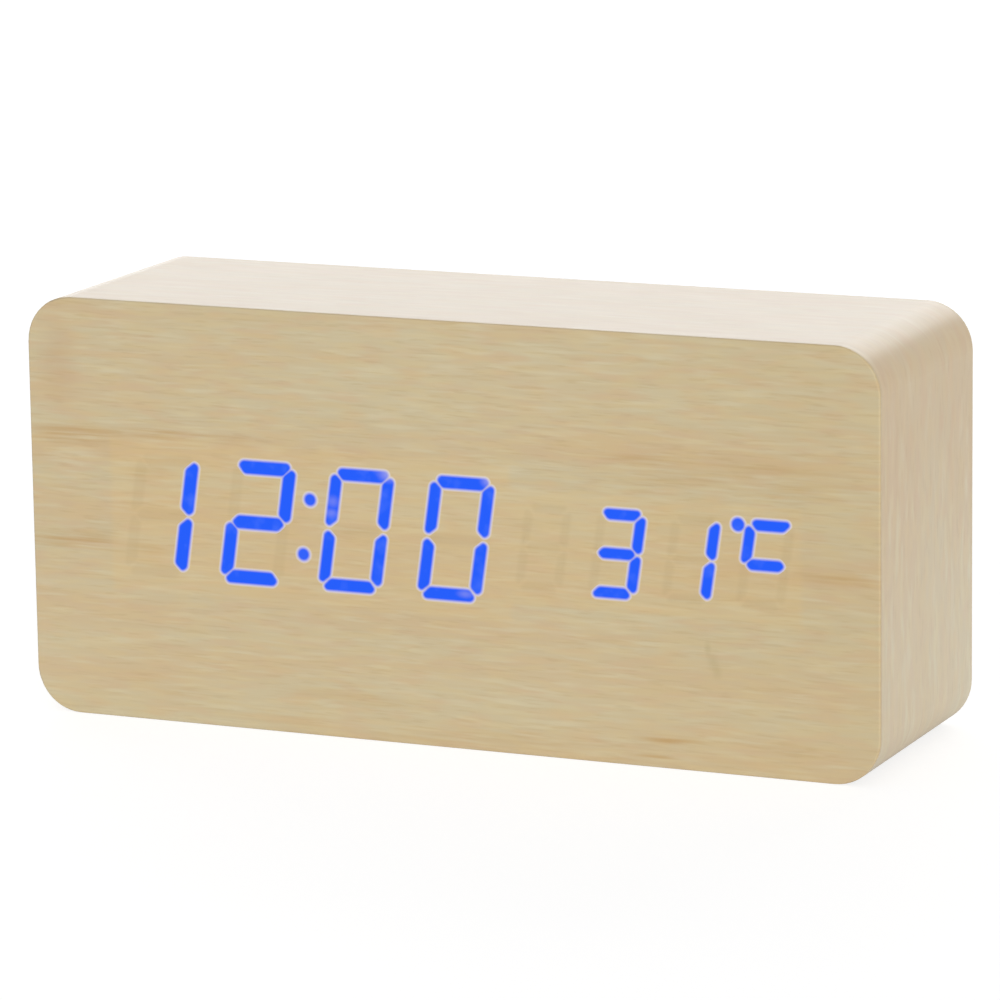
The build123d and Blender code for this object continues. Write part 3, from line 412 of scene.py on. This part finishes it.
# Slow tints: axis, where the tint starts and where it is full, strength and colour. The front's last one is
# the cut edge of the sheet.
SHEET_EDGE = 0.3
FRONT_TINTS = (
    ("X", 10.0, 75.0, 0.12, "AE9058"),
    ("Z", 40.0, 0.0, 0.1, "E0D2AC"),
    ("Y", front, front + SHEET_EDGE, 0.4, "BA9A66"),
)
# Painted light round the case, in the same terms as the slow tints
SIDE_PAINTED_LIGHT = (
    # Paler low down: a painted reflection of the white floor and its bounce light
    ("Z", 55.0, 15.0, 0.4, "D2C4A2"),
    # Warmer and darker higher up: painted shade, the other end of the same gradient
    ("Z", 20.0, 60.0, 0.55, "C4A474"),
    # Paler at the top: a painted reflection of the lamps behind
    ("Z", 64.0, 70.4, 0.12, "E8E4DC"),
    # Darker at the foot: a painted shadow where the case meets the floor
    ("Z", 3.6, 0.4, 0.6, "84705A"),
)
# The lacquer round the case: how far the fibres break it up, and where it fades out towards the base
COAT_LEAST = 0.92
COAT_MOST = 1.08
COAT_START = 0.0
COAT_FULL = 9.0

# Light in the sheet: the brightness at which the halo is full, and at which the core starts and is full
HALO_FULL = 0.35
HALO_STRENGTH = 0.8
# The halo's and the core's colours are painted glow, laid into the base colour over the wood
PAINTED_HALO_COLOUR = "EFE6DE"
CORE_START = 0.06
CORE_FULL = 0.93
PAINTED_GLOW_COLOUR = "0A2FB4"
CORE_COAT = 0.1
LIGHT_COLOUR = "286BFA"
LIGHT_STRENGTH = 0.55
# Paler clouds in the light
CLOUD_SIZE = 3.0
CLOUD_LEVELS = (0.55, 0.8, 0.5)
CLOUD_COLOUR = "6C97FF"
# Where glue behind the sheet dims a lit bar, in the streaks' terms, and the share of light that it lets by
WEAK_SPOTS = (
    (-19.6, 39.5, 1.8, 1.5, 0.34),
    (-19.9, 37.6, 1.8, 1.2, 0.34),
    (-9.4, 44.8, 2.8, 2.0, 0.75),
    (8.2, 44.9, 2.0, 1.7, 0.6),
    (3.8, 25.9, 2.1, 1.0, 0.4),
)
WEAK_LIGHT = 0.55
# The shadow of an unlit segment's well
UNLIT_SHADE = 0.17
UNLIT_COLOUR = "B09A70"


def wood_grain(tree, place, grain, stretch, spread, contrast):
    """Pale plain-sawn veneer: fibres and other marks, all drawn out along the grain.

    The place is bent by a slow noise across the grain, so that the lines wander.
    """

    def sizes(along, across):
        return [along * stretch if runs else across * spread for runs in grain]

    wave = pattern(tree, place, sizes(WAVE_LENGTH, WAVE_WIDTH), 0.0, 1.0)
    rise = [0 if runs else WAVE_RISE * MM for runs in grain]
    bend = {0: wave, 1: rise, 2: place}
    bent = add(tree, "VectorMath", bend, operation="MULTIPLY_ADD").outputs["Vector"]
    fibres = pattern(tree, bent, sizes(FIBRE_LENGTH, FIBRE_WIDTH), *FIBRE_LEVELS, detail=GRAIN_DETAIL)
    faint = add(tree, "Math", {0: fibres, 1: FIBRE_STRENGTH}, operation="MULTIPLY").outputs[0]
    layers = [(faint, FIBRE_COLOUR)]
    for length, width, low, high, strength, code in GRAIN_MARKS.values():
        mark = pattern(tree, bent, sizes(length, width), low, high, strength * contrast, GRAIN_DETAIL)
        layers.append((mark, code))
    return bent, fibres, layers


def streaks(tree, bent):
    """The front sheet's warmer streaks, broken into dashes along the grain."""
    dashes = pattern(tree, bent, DASH_SIZES, *DASH_LEVELS)
    whole = strongest(tree, bent, STREAKS, STREAK_CORE)
    return add(tree, "Math", {0: whole, 1: dashes}, operation="MULTIPLY").outputs[0]


def inside_module(tree, place, node):
    """Where a display module lies behind the sheet: the larger of its two edge distances, softened."""
    low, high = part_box(node)
    steps = (
        ("SUBTRACT", (low + high) / 2),
        ("ABSOLUTE", Vector()),
        ("SUBTRACT", (high - low) / 2),
    )
    away = place
    for operation, value in steps:
        away = add(tree, "VectorMath", {0: away, 1: value}, operation=operation).outputs["Vector"]
    axes = add(tree, "SeparateXYZ", {0: away}).outputs
    edge = add(tree, "Math", {0: axes["X"], 1: axes["Z"]}, operation="MAXIMUM").outputs[0]
    soft = MODULE_SOFT_EDGE * MM
    fade = {"Value": edge, "From Min": soft, "From Max": -soft, "To Max": MODULE_TINT}
    return add(tree, "MapRange", fade, interpolation_type="SMOOTHSTEP").outputs["Result"]


def slow_tints(tree, place, rows):
    """A layer for each row: its ramp along an axis, and its colour."""
    return [(ramp(tree, place, *span), code) for *span, code in rows]


def front_wood(tree, place, over=()):
    """The front sheet's fibres and colour: grain, streaks, a stain, a smudge, the modules and slow tints.

    Further layers may lie over these.
    """
    bent, fibres, layers = wood_grain(tree, place, GRAIN_ALONG_FRONT, *FRONT_GRAIN)
    layers.append((streaks(tree, bent), STREAK_COLOUR))
    layers.append((ellipse(tree, bent, *STAIN, SOFT_CORE), STAIN_COLOUR))
    layers += [(ellipse(tree, place, *smudge, SOFT_CORE), SMUDGE_COLOUR) for smudge in SMUDGES]
    layers += [(inside_module(tree, place, node), MODULE_COLOUR) for node in MODULES]
    layers += slow_tints(tree, place, FRONT_TINTS)
    return fibres, mottled(tree, VENEER, [*layers, *over])


def front_sheet():
    """Satin lacquer over pale veneer: a soft gloss, brightest at a low angle, with the fibres just felt."""
    made, tree, shader, place = surface("front_veneer_lacquered", **LACQUER)
    fibres, colour = front_wood(tree, place)
    tree.links.new(colour, shader.inputs["Base Color"])
    bump = {"Height": fibres, "Strength": FIBRE_BUMP, "Distance": FIBRE_DEPTH * MM}
    tree.links.new(add(tree, "Bump", bump).outputs["Normal"], shader.inputs["Normal"])
    return made


def lit_sheet():
    """The same sheet where a segment shines through it: a blue core with a thin pale halo, painted glow in
    its colour.
    """
    made, tree, shader, place = surface("front_veneer_lit", **LACQUER)
    glow = add(tree, "Attribute", {}, attribute_name="glow").outputs["Fac"]
    halo = {"Value": glow, "From Max": HALO_FULL, "To Max": HALO_STRENGTH}
    halo = add(tree, "MapRange", halo).outputs["Result"]
    core = {"Value": glow, "From Min": CORE_START, "From Max": CORE_FULL}
    core = add(tree, "MapRange", core, interpolation_type="SMOOTHSTEP").outputs["Result"]
    weak = strongest(tree, place, WEAK_SPOTS, SOFT_CORE)
    passed = add(tree, "MapRange", {"Value": weak, "To Min": 1.0, "To Max": WEAK_LIGHT}).outputs["Result"]
    core = add(tree, "Math", {0: core, 1: passed}, operation="MULTIPLY").outputs[0]
    # Painted glow: the pale halo and the blue core laid over the wood's colour
    colour = front_wood(tree, place, [(halo, PAINTED_HALO_COLOUR), (core, PAINTED_GLOW_COLOUR)])[1]
    tree.links.new(colour, shader.inputs["Base Color"])
    clouds = pattern(tree, place, [CLOUD_SIZE] * 3, *CLOUD_LEVELS)
    light = mottled(tree, LIGHT_COLOUR, [(clouds, CLOUD_COLOUR)])
    tree.links.new(light, shader.inputs["Emission Color"])
    power = add(tree, "Math", {0: core, 1: LIGHT_STRENGTH}, operation="MULTIPLY").outputs[0]
    tree.links.new(power, shader.inputs["Emission Strength"])
    coat = {"Value": core, "To Min": LACQUER["Coat_Weight"], "To Max": CORE_COAT}
    tree.links.new(add(tree, "MapRange", coat).outputs["Result"], shader.inputs["Coat Weight"])
    return made


def unlit_sheet():
    """The same sheet over an unlit segment: a faint shadow of the well behind it."""
    made, tree, shader, place = surface("front_veneer_unlit", **LACQUER)
    ghost = add(tree, "Attribute", {}, attribute_name="ghost").outputs["Fac"]
    shade = add(tree, "Math", {0: ghost, 1: UNLIT_SHADE}, operation="MULTIPLY").outputs[0]
    colour = front_wood(tree, place, [(shade, UNLIT_COLOUR)])[1]
    tree.links.new(colour, shader.inputs["Base Color"])
    return made


def wrapped_veneer():
    """The veneer round the case, grain round the corners: paler low down and darker at its foot by painted
    light.

    The fibres break its gloss up a little, and their ends give it a pale sheen at a low angle.
    """
    made, tree, shader, place = surface("side_veneer_lacquered", **LACQUER, **FIBRE_SHEEN)
    _, fibres, layers = wood_grain(tree, place, GRAIN_ROUND_CASE, *SIDE_GRAIN)
    layers += slow_tints(tree, place, SIDE_PAINTED_LIGHT)
    tree.links.new(mottled(tree, VENEER, layers), shader.inputs["Base Color"])
    broken = {"Value": fibres, "To Min": COAT_LEAST, "To Max": COAT_MOST}
    broken = add(tree, "MapRange", broken).outputs["Result"]
    whole = ramp(tree, place, "Z", COAT_START, COAT_FULL, LACQUER["Coat_Weight"])
    coat = add(tree, "Math", {0: broken, 1: whole}, operation="MULTIPLY").outputs[0]
    tree.links.new(coat, shader.inputs["Coat Weight"])
    bump = {"Height": fibres, "Strength": FIBRE_BUMP, "Distance": FIBRE_DEPTH * MM}
    tree.links.new(add(tree, "Bump", bump).outputs["Normal"], shader.inputs["Normal"])
    return made


def rear_sheet():
    """The veneer round the rear cover: plain and satin, with its grain along the case."""
    made, tree, shader, place = surface("rear_veneer_lacquered", **LACQUER)
    _, fibres, layers = wood_grain(tree, place, GRAIN_ALONG_FRONT, *FRONT_GRAIN)
    tree.links.new(mottled(tree, VENEER, layers), shader.inputs["Base Color"])
    bump = {"Height": fibres, "Strength": FIBRE_BUMP, "Distance": FIBRE_DEPTH * MM}
    tree.links.new(add(tree, "Bump", bump).outputs["Normal"], shader.inputs["Normal"])
    return made


# Other finishes. Levels are the noise where a mark starts and where it is full, and then its strength.

# Black ABS: its pebbled grain, slow patches of tone, and how far back the ink on a button starts
ABS_GRAIN = 0.35
ABS_GRAIN_LEVELS = (0.3, 0.7)
ABS_GRAIN_DETAIL = 1.0
ABS_GRAIN_STRENGTH = 0.3
ABS_PATCH = 14.0
ABS_PATCH_LEVELS = (0.4, 0.7, 0.6)
ABS_BUMP = 0.4
ABS_DEPTH = 0.05
INK_START = 21.65

# Plated steel: its drawing lines along X, their strength, and its roughness between them and on them
LINE_SIZES = (6.0, 0.25, 0.25)
LINE_LEVELS = (0.3, 0.7)
LINE_STRENGTH = 0.6
STEEL_BRIGHT = 0.22
STEEL_DULL = 0.42

# Speckled finishes
SPECK_LEVELS = (0.4, 0.68)
SPECK_BUMP = 0.1
SPECK_DEPTH = 0.02

# Circuit boards: copper tracks, and the sharp patches in which they run one way or the other
TRACK_PITCH = 1.6
TRACK_WIDTH = 0.5
TRACK_PATCH = 9.0
TRACK_LEVELS = (0.49, 0.51)

# Chips: fine dust on the resin, and how far above and below the boards' middle the legs start
DUST_SIZE = 0.6
DUST_LEVELS = (0.4, 0.7, 0.5)
BOARD_MIDDLE = 35.25
LEG_START = 3.75

# Flat cable: the wires' pitch, and half a groove's width
RIBBON_PITCH = 1.27
RIBBON_GROOVE = RIBBON_PITCH / 6
RIBBON_BUMP = 0.6
RIBBON_DEPTH = 0.2

# Battery cells: the silver band's length, the nub's, how far the sleeve turns in over the end, and scuffs
CELL_BAND = 11.0
CELL_NUB = 1.0
SLEEVE_RETURN = 0.45
BAND_METAL = 0.7
CELL_SCUFFS = (5.0, 0.5, 0.5)
CELL_SCUFF_LEVELS = (0.5, 0.75, 0.3)

# The capacitor: how far from its middle the stripe starts, and scuffs
CAPACITOR_STRIPE = 1.9
CAPACITOR_SCUFF = 1.5
CAPACITOR_SCUFF_LEVELS = (0.45, 0.7, 0.4)


def moulded_abs(name, printed=False):
    """Black ABS from a spark-eroded mould: a fine pebbled grain that breaks up the shine, and white ink."""
    made, tree, shader, place = surface(name, Roughness=0.48)
    grain = pattern(tree, place, [ABS_GRAIN] * 3, *ABS_GRAIN_LEVELS, detail=ABS_GRAIN_DETAIL)
    pebbles = add(tree, "Math", {0: grain, 1: ABS_GRAIN_STRENGTH}, operation="MULTIPLY").outputs[0]
    patches = pattern(tree, place, [ABS_PATCH] * 3, *ABS_PATCH_LEVELS)
    layers = [(patches, "262628"), (pebbles, "2C2C2E")]
    if printed:
        layers.append((beyond(tree, place, "Y", 0.0, INK_START), "DAD8D2"))
    tree.links.new(mottled(tree, "19191B", layers), shader.inputs["Base Color"])
    bump = {"Height": grain, "Strength": ABS_BUMP, "Distance": ABS_DEPTH * MM}
    tree.links.new(add(tree, "Bump", bump).outputs["Normal"], shader.inputs["Normal"])
    return made


def plated_steel():
    """Nickel-plated steel: bright, with faint drawing lines that are duller."""
    made, tree, shader, place = surface("nickel_plated_steel", Metallic=1.0)
    lines = pattern(tree, place, LINE_SIZES, *LINE_LEVELS)
    faint = add(tree, "Math", {0: lines, 1: LINE_STRENGTH}, operation="MULTIPLY").outputs[0]
    tree.links.new(mottled(tree, "CFCCC4", [(faint, "A9A69F")]), shader.inputs["Base Color"])
    dull = {"Value": lines, "To Min": STEEL_BRIGHT, "To Max": STEEL_DULL}
    tree.links.new(add(tree, "MapRange", dull).outputs["Result"], shader.inputs["Roughness"])
    return made


def speckled(name, under, over, size, **plain):
    """A plain finish with soft specks of a second colour, which also stand a little proud."""
    made, tree, shader, place = surface(name, **plain)
    specks = pattern(tree, place, [size] * 3, *SPECK_LEVELS)
    tree.links.new(mottled(tree, under, [(specks, over)]), shader.inputs["Base Color"])
    bump = {"Height": specks, "Strength": SPECK_BUMP, "Distance": SPECK_DEPTH * MM}
    tree.links.new(add(tree, "Bump", bump).outputs["Normal"], shader.inputs["Normal"])
    return made


def solder_mask():
    """Green solder mask over copper: a deep green gloss with paler tracks that run both ways."""
    made, tree, shader, place = surface("solder_mask_green", Roughness=0.35, Coat_Weight=0.5)
    patches = pattern(tree, place, [TRACK_PATCH] * 3, *TRACK_LEVELS, detail=0.0)
    others = add(tree, "Math", {0: 1.0, 1: patches}, operation="SUBTRACT").outputs[0]
    axes = add(tree, "SeparateXYZ", {0: place}).outputs
    layers = []
    for axis, share, code in (("X", patches, "1E7A43"), ("Z", others, "1A6E3C")):
        away = add(tree, "Math", {0: axes[axis], 1: TRACK_PITCH / 2 * MM}, operation="PINGPONG").outputs[0]
        track = add(tree, "Math", {0: away, 1: TRACK_WIDTH / 2 * MM}, operation="LESS_THAN").outputs[0]
        shown = add(tree, "Math", {0: track, 1: share}, operation="MULTIPLY").outputs[0]
        layers.append((shown, code))
    tree.links.new(mottled(tree, "0F5A2E", layers), shader.inputs["Base Color"])
    return made


def moulded_chip():
    """A chip of black moulded resin, with a fine matt face and bright tinned legs."""
    made, tree, shader, place = surface("chip_resin_and_tin", Roughness=0.5)
    legs = beyond(tree, place, "Z", BOARD_MIDDLE, LEG_START)
    dust = pattern(tree, place, [DUST_SIZE] * 3, *DUST_LEVELS)
    layers = [(dust, "2B2B2E"), (legs, "C9C8C4")]
    tree.links.new(mottled(tree, "1C1C1E", layers), shader.inputs["Base Color"])
    tree.links.new(legs, shader.inputs["Metallic"])
    return made


def ribbon_pvc():
    """Flat cable in grey PVC: rounded ridges over the wires, with a groove between each two, painted darker
    as shade.
    """
    made, tree, shader, place = surface("ribbon_pvc_grey", Roughness=0.45)
    across = add(tree, "SeparateXYZ", {0: place}).outputs["X"]
    away = add(tree, "Math", {0: across, 1: RIBBON_PITCH / 2 * MM}, operation="PINGPONG").outputs[0]
    groove = {"Value": away, "From Min": RIBBON_GROOVE * MM, "From Max": 0.0}
    groove = add(tree, "MapRange", groove, interpolation_type="SMOOTHSTEP").outputs["Result"]
    # The grooves are painted darker: painted shade between the ridges
    tree.links.new(mottled(tree, "A3A4A8", [(groove, "6E6F73")]), shader.inputs["Base Color"])
    ridge = add(tree, "Math", {0: 1.0, 1: groove}, operation="SUBTRACT").outputs[0]
    bump = {"Height": ridge, "Strength": RIBBON_BUMP, "Distance": RIBBON_DEPTH * MM}
    tree.links.new(add(tree, "Bump", bump).outputs["Normal"], shader.inputs["Normal"])
    return made


def cell_sleeve(name, node, nub_side):
    """A battery cell: a printed blue sleeve with a silver band at the nub's end, and bare steel ends."""
    made, tree, shader, place = surface(name, Roughness=0.3)
    low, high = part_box(node)
    ends = (low.x / MM, high.x / MM)
    flat_end = ends[0] if nub_side > 0 else ends[1]
    can = ends[1] - ends[0] - CELL_NUB
    middle = flat_end + nub_side * can / 2
    bare = beyond(tree, place, "X", middle, can / 2 - SLEEVE_RETURN)
    band = beyond(tree, place, "X", flat_end, can - CELL_BAND)
    scuffs = pattern(tree, place, CELL_SCUFFS, *CELL_SCUFF_LEVELS)
    layers = [(band, "B9BABD"), (scuffs, "5D7199"), (bare, "C4C1BA")]
    tree.links.new(mottled(tree, "24406F", layers), shader.inputs["Base Color"])
    printed = add(tree, "Math", {0: band, 1: BAND_METAL}, operation="MULTIPLY").outputs[0]
    metal = add(tree, "Math", {0: bare, 1: printed}, operation="MAXIMUM").outputs[0]
    tree.links.new(metal, shader.inputs["Metallic"])
    return made


def capacitor_sleeve():
    """A capacitor in a dark blue shrunk sleeve with a pale stripe down each side."""
    made, tree, shader, place = surface("capacitor_sleeve_blue", Roughness=0.35)
    low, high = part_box("supply_capacitor")
    stripe = beyond(tree, place, "Z", (low.z + high.z) / 2 / MM, CAPACITOR_STRIPE)
    scuffs = pattern(tree, place, [CAPACITOR_SCUFF] * 3, *CAPACITOR_SCUFF_LEVELS)
    layers = [(stripe, "A7AEC0"), (scuffs, "33437A")]
    tree.links.new(mottled(tree, "1B2A5C", layers), shader.inputs["Base Color"])
    return made


def dress(finishes):
    """Gives each carried-over node its finish."""
    for finish, nodes in finishes:
        for node in nodes:
            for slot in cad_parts[node].material_slots:
                slot.material = finish


# Camera and studio

def camera():
    """The camera on a sphere about its target, turned by azimuth, elevation and roll."""
    azimuth, elevation, roll = (math.radians(a) for a in (CAMERA_AZIMUTH, CAMERA_ELEVATION, CAMERA_ROLL))
    level = math.cos(elevation)
    back = Vector((math.sin(azimuth) * level, -math.cos(azimuth) * level, math.sin(elevation)))
    right = Vector((math.cos(azimuth), math.sin(azimuth), 0))
    up = back.cross(right)
    across = right * math.cos(roll) + up * math.sin(roll)
    upward = up * math.cos(roll) - right * math.sin(roll)
    data = bpy.data.cameras.new("camera")
    data.sensor_width = SENSOR_WIDTH
    data.lens = FOCAL_PIXELS / IMAGE_PIXELS * SENSOR_WIDTH
    data.clip_end = CLIP_END * MM
    made = bpy.data.objects.new("camera", data)
    bpy.context.scene.collection.objects.link(made)
    turn = Matrix((across, upward, back)).transposed().to_4x4()
    place = (Vector(CAMERA_TARGET) + back * CAMERA_DISTANCE) * MM
    made.matrix_world = Matrix.Translation(place) @ turn
    bpy.context.scene.camera = made


def seen_rays(tree):
    """1 for rays that show the background: seen by the camera, in a reflection or through glass."""
    rays = add(tree, "LightPath", {}).outputs
    seen = rays["Is Camera Ray"]
    for kind in ("Is Glossy Ray", "Is Transmission Ray"):
        seen = add(tree, "Math", {0: seen, 1: rays[kind]}, operation="MAXIMUM").outputs[0]
    return seen


def floor():
    """A plain white floor. As it is seen, part of its white is its own light, so its shadow is faint."""
    reach = FLOOR_HALF * MM
    drop = -FLOOR_DROP * MM
    corners = [(-reach, -reach, drop), (reach, -reach, drop), (reach, reach, drop), (-reach, reach, drop)]
    mesh = bpy.data.meshes.new("floor")
    mesh.from_pydata(corners, [], [(0, 1, 2, 3)])
    made = bpy.data.objects.new("floor", mesh)
    bpy.context.scene.collection.objects.link(made)
    paint = bpy.data.materials.new("white_floor_paint")
    paint.use_nodes = True
    tree = paint.node_tree
    tree.nodes.remove(tree.nodes["Principled BSDF"])
    plain = add(tree, "BsdfDiffuse", {"Color": linear(FLOOR_PAINT)}).outputs[0]
    shade = add(tree, "BsdfDiffuse", {"Color": linear(FLOOR_SEEN_PAINT)}).outputs[0]
    light = add(tree, "Emission", {"Strength": FLOOR_SEEN_LIGHT}).outputs[0]
    bright = add(tree, "AddShader", {0: shade, 1: light}).outputs[0]
    mixed = add(tree, "MixShader", {0: seen_rays(tree), 1: plain, 2: bright}).outputs[0]
    tree.links.new(mixed, tree.nodes["Material Output"].inputs["Surface"])
    mesh.materials.append(paint)


def surround():
    """A white surround, dimmer as a light than as it is seen."""
    world = bpy.data.worlds.new("white_surround")
    world.use_nodes = True
    bpy.context.scene.world = world
    tree = world.node_tree
    background = tree.nodes["Background"].inputs
    strength = {"Value": seen_rays(tree), "To Min": SURROUND_LIGHT, "To Max": SURROUND_SEEN}
    tree.links.new(add(tree, "MapRange", strength).outputs["Result"], background["Strength"])
    background["Color"].default_value = linear(SURROUND_COLOUR)


def lamps():
    """Wide soft boxes aimed at the clock: one each side, and two behind that the top and corner mirror."""
    for name, place, width, height, power, mirrored in LAMPS:
        data = bpy.data.lights.new(name, "AREA")
        data.shape = "RECTANGLE"
        data.size = width * MM
        data.size_y = height * MM
        data.energy = power
        lamp = bpy.data.objects.new(name, data)
        bpy.context.scene.collection.objects.link(lamp)
        lamp.visible_glossy = mirrored
        lamp.location = Vector(place) * MM
        lamp.rotation_euler = (Vector(LAMP_AIM) * MM - lamp.location).to_track_quat("-Z", "Y").to_euler()


# The scene put together

bpy.context.scene.view_settings.view_transform = "Standard"
camera()
floor()
surround()
lamps()

# The display on the front
time_bars, time_ghosts = digit_row(TIME_DIGITS, TIME_STROKES, TIME_LIT, time_middle)
temperature_bars, temperature_ghosts = digit_row(
    TEMPERATURE_DIGITS, TEMPERATURE_STROKES, TEMPERATURE_LIT, temperature_middle
)
colon = dots(COLON_PLACES, time_middle)
degree = dots(DEGREE_PLACES, temperature_middle)
lit = lit_sheet()
unlit = unlit_sheet()
display_marks("lit_time_digits", time_bars, LIT_MARK, "glow", FULL_VALUE, lit)
display_marks("lit_colon", colon, LIT_MARK, "glow", COLON_VALUE, lit)
display_marks("lit_temperature_digits", temperature_bars, LIT_MARK, "glow", FULL_VALUE, lit)
display_marks("lit_degree_dot", degree, LIT_MARK, "glow", FULL_VALUE, lit)
display_marks("unlit_time_segments", time_ghosts, UNLIT_MARK, "ghost", FULL_VALUE, unlit)
display_marks("unlit_temperature_segments", temperature_ghosts, UNLIT_MARK, "ghost", FULL_VALUE, unlit)

# Sawn fibreboard: a dull brown felt of fibres
fibreboard = speckled("fibreboard_sawn", "A58763", "8A6C4A", size=0.8, Roughness=0.85)
# Moulded polystyrene: bright, chalky white
polystyrene = speckled("polystyrene_white", "E9E8E3", "DAD9D2", size=6.0, Roughness=0.5)
# Milky acrylic: a soft, cool white that light spreads in
acrylic = speckled("acrylic_milky", "E3E8EE", "D2DAE4", size=4.0, Roughness=0.35)
# Light chips: a pale body under a yellowish clear drop
light_chip = speckled("light_chip_resin", "E6D9A2", "CDB564", size=0.7, Roughness=0.25)
# Black moulded resin: dull, with fine grit
resin = speckled("moulded_resin_black", "1D1D1F", "2B2B2D", size=0.6, Roughness=0.55)
# Dipped resin bead: a dark, glossy drop
bead = speckled("dipped_resin_bead", "3A2A22", "52392B", size=0.5, Roughness=0.2)
# Soft PVC sleeves of the battery wires: smooth, with a low shine
red_pvc = speckled("wire_pvc_red", "B32420", "C93A33", size=2.0, Roughness=0.4)
black_pvc = speckled("wire_pvc_black", "202022", "2E2E30", size=2.0, Roughness=0.4)
steel = plated_steel()
cover_abs = moulded_abs("black_abs_spark_eroded")
button_abs = moulded_abs("black_abs_printed", printed=True)
right_cell = cell_sleeve("cell_sleeve_nub_right", "battery_cell_1", 1)
left_cell = cell_sleeve("cell_sleeve_nub_left", "battery_cell_2", -1)
keys = ("down", "up", "set")
dress(
    [
        (front_sheet(), ["front_veneer"]),
        (wrapped_veneer(), ["side_veneer"]),
        (rear_sheet(), ["rear_veneer"]),
        (fibreboard, ["case_block"]),
        (polystyrene, ["time_reflector", "temperature_reflector", "display_header", "main_header"]),
        (acrylic, ["time_diffuser", "temperature_diffuser"]),
        (acrylic, ["time_segment_lenses", "temperature_segment_lenses"]),
        (light_chip, ["time_leds", "temperature_leds"]),
        (solder_mask(), ["display_board", "main_board"]),
        (moulded_chip(), ["time_driver_chip", "temperature_driver_chip", "controller_chip"]),
        (ribbon_pvc(), ["ribbon_cable"]),
        (capacitor_sleeve(), ["supply_capacitor"]),
        (resin, ["buzzer", "power_socket_core"]),
        (resin, [f"{key}_{piece}" for key in keys for piece in ("switch", "plunger")]),
        (bead, ["temperature_sensor"]),
        (red_pvc, ["positive_wire"]),
        (black_pvc, ["negative_wire"]),
        (cover_abs, ["rear_cover", "battery_door"]),
        (button_abs, [f"{key}_button" for key in keys]),
        (right_cell, ["battery_cell_1", "battery_cell_3"]),
        (left_cell, ["battery_cell_2"]),
        (steel, ["rear_cover_screws", "display_board_screws", "main_board_screws", "power_socket_shell"]),
        (steel, ["clock_crystal", "microphone", "negative_contact", "positive_contact"]),
        (steel, ["cell_link_1", "cell_link_2"]),
    ]
)
